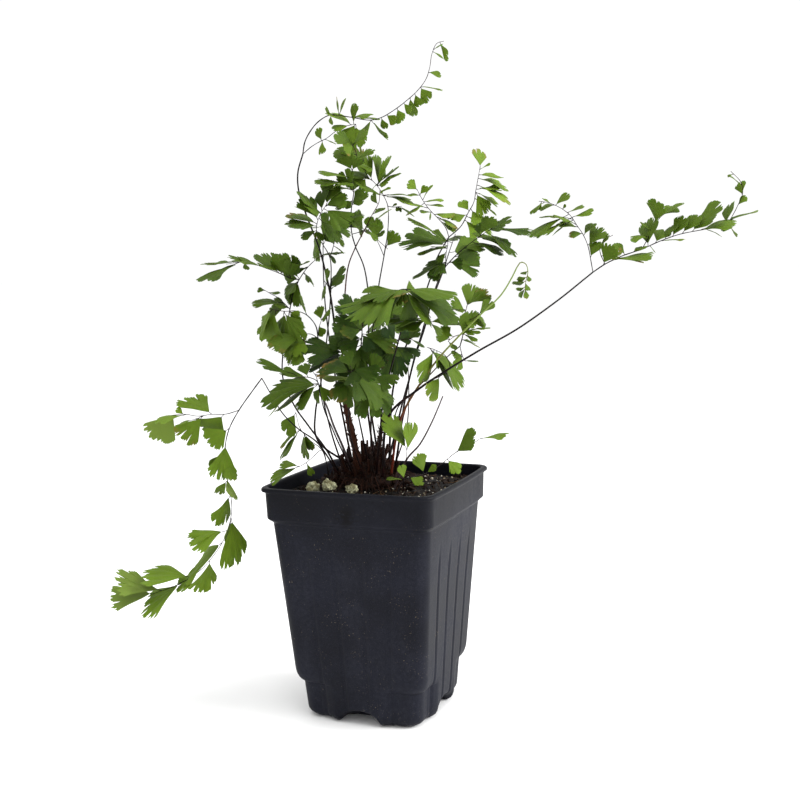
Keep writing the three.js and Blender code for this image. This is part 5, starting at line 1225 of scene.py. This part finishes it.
         ([(-26.6, 43, 221.7), (-26.6, 50, 233.7), (-26.6, 58, 240.7), (-27.6, 67, 242.7)],
          [(0.15, 1.4, 15.9, 2.2, 36, 0.1), (0.36, 5.5, -12.2, 10.9, 42, 0.1),
           (0.57, -7.9, 11.3, -10.3, 30, 0.1), (0.79, 12.1, 8.2, 3.1, 44, 0.1),
           (1, -1.8, 13.7, 0.6, 38, 0.1)]),
     ]},
    {"name": "back_low", "face": (0, 0.5, 0.8),
     "stipe": [(-3.6, 14, 117.7), (-3.6, 31, 148.7), (-2.6, 45, 172.7), (-0.6, 54, 186.7)],
     "branches": [
         ([(-0.6, 54, 186.7), (0.4, 61, 193.7), (0.4, 70, 196.7), (1.4, 79, 194.7)],
          [(0.15, -13.5, 14.1, 1.5, 36, 0.1), (0.36, 20, 5.3, 0.5, 42, 0.1),
           (0.57, -18.5, 5.5, -7.4, 30, 0.1), (0.79, 16.6, 5.6, -5.6, 44, 0.1),
           (1, 1.7, 13.2, -9, 38, 0.1)]),
     ]},
]

sprigs = [
    {"name": "heart_sprig", "face": (0.1, -1, 0.1),
     "branches": [
         ([(12.1, -20, 111.5), (13.3, -21, 122.9), (14.5, -22, 132.7)],
          [(1, -7.1, 0.5, 17, 20), (1, 3.2, 1.4, 12.8, 22)]),
     ]},
    {"name": "creeping_sprig", "face": (0.1, -0.7, 0.7),
     "branches": [
         ([(8.7, -29, 112), (12.7, -26, 119), (22.4, -20, 120.5), (30.4, -14, 123.6), (38, -9, 128.5),
           (45.6, -7, 131.9), (51.1, -6, 135.1)],
          [(0.16, -7.6, 2, 0.8, 6), (0.16, -1.3, 1.1, 6.5, 26), (0.21, 6.2, -1.2, -2.6, 28),
           (0.36, -2.2, 0.8, 9.2, 30), (0.39, 4.5, -0.7, 3.3, 26), (0.64, 5.4, -1, -6, 34),
           (0.74, 9.4, -3.5, 8.5, 28), (1, 12.1, -2.2, 2, 9)]),
     ]},
    {"name": "left_sprig", "face": (-0.2, -1, 0.1),
     "branches": [
         ([(-24.6, 12, 112.7), (-28.5, 13, 128.2), (-34.6, 15, 133.2), (-39.5, 16, 139.4),
           (-41.4, 17, 147.5)],
          [(0.7, 2.7, 0.6, -8.5, 30), (0.7, -1.5, -0.2, -11.4, 16), (0.78, -10.3, -1.1, -13.7, 12, 0.05),
           (0.78, -10.4, 1.7, -7.9, 8, 0.07), (1, -6.1, -3.2, -9.2, 34)]),
     ]},
    {"name": "rim_sprig", "face": (-0.1, -1, 0.3),
     "branches": [
         ([(-23.6, -8, 110.7), (-26.9, -9, 131.7), (-31.9, -10, 128.1), (-35.8, -11, 125.4),
           (-38.8, -11, 124)],
          [(0.87, 2.6, -0.2, -5.8, 20), (0.97, -14.7, -0.8, -4.9, 10), (0.98, -9, 1.3, 2.1, 16)]),
     ]},
]

# tone runs from dark to light, pleat from flat to pleated; red is how reddish the stem is and tip how
# much lighter the leaflets get towards a branch's end; full is a leaflet's size against its listed one,
# and dense the share of leaflets with a smaller companion
looks = {
    "left_hanging": {"tone": 0.62, "full": 0.97, "tip": 0.34, "pleat": 0.4},
    "top_arch": {"tone": 0.7, "pleat": 0.6},
    "left_arch": {"dense": 0.35, "tone": 0.32, "pleat": 0.8},
    "left_low": {"dense": 0.5, "tone": 0.5, "pleat": 1},
    "front_left": {"tone": 0.32, "pleat": 1},
    "front_middle": {"dense": 0.4, "tone": 0.16, "pleat": 1},
    "front_high": {"dense": 0.3, "tone": 0.34, "pleat": 1.2},
    "centre_low": {"dense": 0.8, "tone": 0.12, "pleat": 1},
    "centre_right": {"dense": 0.8, "tone": 0.08, "pleat": 1},
    "right_upper": {"tone": 0.8, "pleat": 0.6},
    "right_fan": {"dense": 0.4, "tone": 0.25, "pleat": 1},
    "centre_tall": {"dense": 0.3, "tone": 0.5, "pleat": 0.7},
    "crossing_red": {"dense": 0.4, "tone": 0.5, "pleat": 0.6, "red": 0.9},
    "crossing_dark": {"dense": 0.5, "tone": 0.45, "pleat": 0.8},
    "upper_left": {"dense": 0.5, "tone": 0.32, "pleat": 0.9},
    "fiddlehead": {"tone": 0.4, "pleat": 1.2, "red": 0.6},
    "right_middle": {"dense": 0.4, "tone": 0.5, "pleat": 0.7, "red": 0.7},
    "right_low": {"tone": 0.6, "pleat": 0.4},
    "right_long": {"tone": 0.55, "pleat": 0.7},
    "back_right": {"tone": 0.3, "pleat": 0.8},
    "back_left": {"tone": 0.3, "pleat": 0.8},
    "back_low": {"tone": 0.25, "pleat": 0.8},
    "heart_sprig": {"tone": 0.7, "pleat": 0.4},
    "creeping_sprig": {"tone": 0.66, "pleat": 0.4},
    "left_sprig": {"tone": 0.55, "pleat": 0.7},
    "rim_sprig": {"tone": 0.65, "pleat": 0.7},
}


def leafPlaces(line, leaflets, face):
    # where each leaflet of a branch sits: its foot, way, upper side, length, half spread and bare stalk
    points, _ = curvePoints(line, 0.5)
    places = []
    for along, x, y, z, seen, *stalk in leaflets:
        foot, _ = alongCurve(points, min(along, 0.995))
        size = math.sqrt(x * x + y * y + z * z)
        out = np.array((x, y, z)) / size
        spread = max(min(leafShape["widest"], 2 * abs(seen) + 12), abs(seen) + 3)
        # turned about its length until it looks as wide from the front as it is seen
        turn = math.acos(math.tan(math.radians(abs(seen))) / math.tan(math.radians(spread)))
        front = np.array((0, -1, 0.12))
        front = unit(front - out * np.dot(front, out))
        side = np.cross(out, front)
        way = 1 if np.dot(side, face) > 0 else -1
        normal = front * math.cos(turn) + side * way * math.sin(turn)
        if seen < 0:
            normal = -normal
        places.append((foot, out, normal, size, spread, stalk[0] if stalk else 0, along))
    return places


def companion(place, rng):
    # a smaller leaflet from the same foot, turned aside, that fills a gap beside its neighbour
    foot, out, normal, size, spread, bare, along = place
    angle = math.radians(rng.choice((-1, 1)) * rng.uniform(38, 62))
    out = out * math.cos(angle) + np.cross(normal, out) * math.sin(angle)
    return foot, out, normal, size * rng.uniform(0.6, 0.8), spread, bare, along


def leafMargin(s, size, spread, rng):
    # a leaflet's rim: places across its fan, and how far it reaches at each, with lobes, slits and teeth
    columns = s["columns"]
    lobes = max(2, int(round(size / 9 + spread / 30 + rng.uniform(-0.7, 0.7))))
    t = np.linspace(-1, 1, columns)
    margin = s["margin"] - s["marginFall"] * t ** 2
    margin *= 1 + rng.uniform(-0.16, 0.16) * t
    edges = np.linspace(-1, 1, lobes + 1)
    edges[1:-1] += [rng.uniform(-0.25, 0.25) / lobes for _ in range(lobes - 1)]
    for low, high in zip(edges, edges[1:]):
        u = (t - (low + high) / 2) / ((high - low) / 2)
        inside = np.abs(u) <= 1
        margin[inside] *= (1 - 0.07 * np.abs(u[inside]) ** 4) * rng.uniform(0.9, 1.04)
    for cut in edges[1:-1]:
        i = int(np.argmin(np.abs(t - cut)))
        t[i] = cut
        depth = rng.choice(s["slits"]) * rng.uniform(0.8, 1.25)
        margin[i] *= 1 - depth
        margin[[max(i - 1, 0), min(i + 1, columns - 1)]] *= 1 - 0.07 * rng.random()
    teeth = np.array([rng.uniform(0, 0.085) if k % 2 else rng.uniform(0, 0.02) for k in range(columns)])
    for _ in range(2 + lobes):
        teeth[rng.randrange(2, columns - 2)] += rng.uniform(0.04, 0.15)
    return t, margin * (1 - teeth), lobes


def addLeaflet(leaves, stalks, place, look, rng):
    s = leafShape
    foot, out, normal, size, spread, bare, along = place
    columns, rows = s["columns"], s["rows"]
    stalk = size * bare + min(s["stalk"] * size * rng.uniform(0.6, 1.2), s["longestStalk"])
    reach = size * look.get("full", 1.06) - stalk
    wedge = math.radians(spread * rng.uniform(1.0, 1.18))
    t, margin, lobes = leafMargin(s, size, spread, rng)
    # the sheet, one row of points after another from the stalk to the rim, as shares of the reach
    r = np.linspace(0, 1, rows) ** 0.85 * 0.955 + 0.045
    rho = np.outer(r, margin)
    phi = np.broadcast_to(t * wedge, rho.shape)
    outward = np.broadcast_to(r[:, None], rho.shape)
    x, y = rho * np.cos(phi), rho * np.sin(phi)
    pleats = lobes * rng.choice((0.5, 1, 1))
    phase = rng.uniform(0, fullTurn)
    depth = look["pleat"] * rng.uniform(*s["pleats"])
    pleat = depth * rho ** 1.3 * np.cos(phi / wedge * math.pi * pleats + phase)
    cup = rng.uniform(*s["cup"]) * look["pleat"] * y ** 2
    sag = rng.uniform(*s["sag"]) * x ** 2
    wave = s["wave"] * np.sin(x * 5.1 + phase) * np.cos(y * 4.3 + 2 * phase)
    curl = rng.uniform(*s["curl"]) * smoothStep(0.75, 1, outward) * np.sin(phi * 5 + phase)
    twist = rng.uniform(*s["twist"]) * x * y
    z = pleat - cup - sag + wave + curl + twist
    wide = np.cross(normal, out)
    base = foot + out * stalk
    sheet = np.multiply.outer(x, out) + np.multiply.outer(y, wide) + np.multiply.outer(z, normal)
    sheet = base + sheet * reach
    upward = np.cross(np.gradient(sheet, axis=0), np.gradient(sheet, axis=1))
    upward /= np.maximum(np.linalg.norm(upward, axis=2, keepdims=True), tiny)
    thick = s["thickness"] / 2 * (1 - 0.5 * smoothStep(0.8, 1, outward[..., None]))
    upper = (sheet + upward * thick).reshape(-1, 3)
    lower = (sheet - upward * thick).reshape(-1, 3)
    n = rows * columns
    quads = gridQuads(rows, columns)
    rim = [*range(columns), *range(2 * columns - 1, n, columns), *range(n - 2, n - columns - 1, -1),
           *range(n - 2 * columns, 0, -columns)]
    rimQuads = np.array([(a, b, b + n, a + n) for a, b in zip(rim, rim[1:] + rim[:1])])
    uv = np.stack([np.broadcast_to(t * 0.5 + 0.5, rho.shape).ravel(), outward.ravel()], 1)
    tone = np.clip(look["tone"] + look.get("tip", 0) * along + rng.uniform(-0.13, 0.13), 0, 1)
    quads = np.concatenate([quads[:, ::-1], quads + n, rimQuads])
    leaves.add(toPot(np.vstack([upper, lower])), quads, uv=np.vstack([uv, uv]), tone=tone,
               under=np.repeat([0.0, 1.0], n), spread=wedge * size / 10, chance=rng.random())
    middle = foot + out * stalk * 0.5 + normal * rng.uniform(-0.15, 0.15) * stalk
    line, _ = curvePoints([foot, middle, base + out * min(0.1 * size, 1.2)], 0.5)
    addTube(stalks, toPot(line), np.linspace(*s["stalkRadii"], len(line)), 6, tone=0.2)


leafLook = {
    "dark": (18, 40, 2),
    "light": (102, 128, 30),
    "vein": (122, 142, 52),
    "veinShare": 0.22,
    "veins": (7.0, 14.0),  # how many to each unit of width, before and after they fork
    "under": (112, 124, 68),
    "underShare": 0.45,
    "tired": (120, 88, 44),  # brown rims, on a few of the leaflets
    "tiredShare": 0.75,
    "roughness": 0.52,
    "bumpDepth": 0.00007,
    "specular": 0.12,
    "throughLight": 0.12,
    "throughDepth": 0.0006,
    "throughReach": (0.5, 1.0, 0.2),
}


def leafMaterial(s):
    m = Shader("fern_leaf")
    tone, under, spread, chance = (m.value(k) for k in ("tone", "under", "spread", "chance"))
    uv = m.node("ShaderNodeTexCoord", out=2)
    across, outward = m.part(uv, 0), m.part(uv, 1)
    fan = (across - 0.5) * spread * 2 + (m.noise(240, 2) - 0.5) * 0.03

    def veins(count):
        # fine lines that fan out from the leaflet's foot
        folds = fan * count
        return 1 - (folds.maths("PINGPONG", folds, 0.5) * 2).step(0.0, 0.34)

    forked = outward.step(0.42, 0.52)
    few, many = s["veins"]
    vein = veins(few) * (1 - forked) + veins(many) * forked
    cells = m.noise(1500, 2, 0.5)
    patchy = tone + (m.noise(110, 3) - 0.5) * 0.35
    shade = patchy.maths("ADD", patchy, 0, clamp=True)
    green = m.mix(shade, linear(*s["dark"]), linear(*s["light"]))
    green = m.mix(vein * s["veinShare"], green, m.mix(0.4, green, linear(*s["vein"])))
    green = m.mix(under, green, m.mix(s["underShare"], green, linear(*s["under"])))
    tired = chance.step(0.86, 0.97) * outward.step(0.72, 1.0) * m.noise(380, 3).step(0.4, 0.62)
    green = m.mix(tired * s["tiredShare"], green, linear(*s["tired"]))
    rough = s["roughness"] + cells * 0.14 + under * 0.12
    bump = 0.5 - vein * 0.5 + cells * 0.25
    return m.finish(green, rough, bump, s["bumpDepth"], Specular_IOR_Level=s["specular"],
                    Subsurface_Weight=s["throughLight"], Subsurface_Radius=s["throughReach"],
                    Subsurface_Scale=s["throughDepth"])


def addTwig(heap, line, s, radius, tone):
    points, length = curvePoints(line, s["step"])
    share = np.linspace(0, 1, len(points))
    knots = 1 + 0.1 * np.sin(share * length * 0.9 + tone * 40)
    radii = (radius + (s["tipRadius"] - radius) * share ** 0.8) * knots
    addTube(heap, toPot(points), radii, 8, tone=tone + 0.2 * share)


def addStipe(heap, line, s, red, green):
    points, length = curvePoints(line, s["step"])
    share = np.linspace(0, 1, len(points))
    thick = s["stipeRadius"] + s["stipeGain"] * length
    sway = np.array([noise.noise(Vector(p) * 0.06) for p in points]) * 0.5 * np.sin(share * math.pi)
    points = points + np.outer(sway, [1, 0.4, 0])
    tone = share if green else red * (1 - 0.5 * share)
    addTube(heap, toPot(points), thick * (1.15 - 0.62 * share ** 0.7), 10, tone=tone)


def makeFrond(plant, index, paints):
    name = plant["name"]
    look = looks[name]
    green = plant.get("green", False)
    slot = "young_stipe" if green else "wiry_stipe"
    red = look.get("red", 0.25)
    blade = name
    if "stipe" in plant:
        blade = name + "_blade"
        stipe = Heap()
        addStipe(stipe, plant["stipe"], twigShape, red, green)
        stipe.build(name + "_wire", paints[slot], slot, [name + "_stipe"])
    leaves, twigs = Heap(), Heap()
    for b, (line, leaflets) in enumerate(plant["branches"]):
        radius = twigShape["sideRadius" if b else "mainRadius"]
        addTwig(twigs, line, twigShape, radius, 0.6 if green else red * 0.4)
        for i, place in enumerate(leafPlaces(line, leaflets, plant["face"])):
            # a seed of its own for each leaflet, so that a change to one leaves the others alone
            rng = random.Random(1000 * index + 50 * b + i)
            addLeaflet(leaves, twigs, place, look, rng)
            if rng.random() < look.get("dense", 0):
                addLeaflet(leaves, twigs, companion(place, rng), look, rng)
    leaves.build(name + "_leaflets", paints["leaf"], "leaf", [blade], sharp=70)
    twigs.build(name + "_twigs", paints[slot], slot, [blade])


def makeFronds():
    paints = {
        "leaf": leafMaterial(leafLook),
        "wiry_stipe": wiryMaterial("wiry_stem", stemLook, "wiry"),
        "young_stipe": wiryMaterial("young_stem", stemLook, "young"),
    }
    for index, plant in enumerate(fronds + sprigs):
        makeFrond(plant, index, paints)


makeFronds()
print("fronds made")
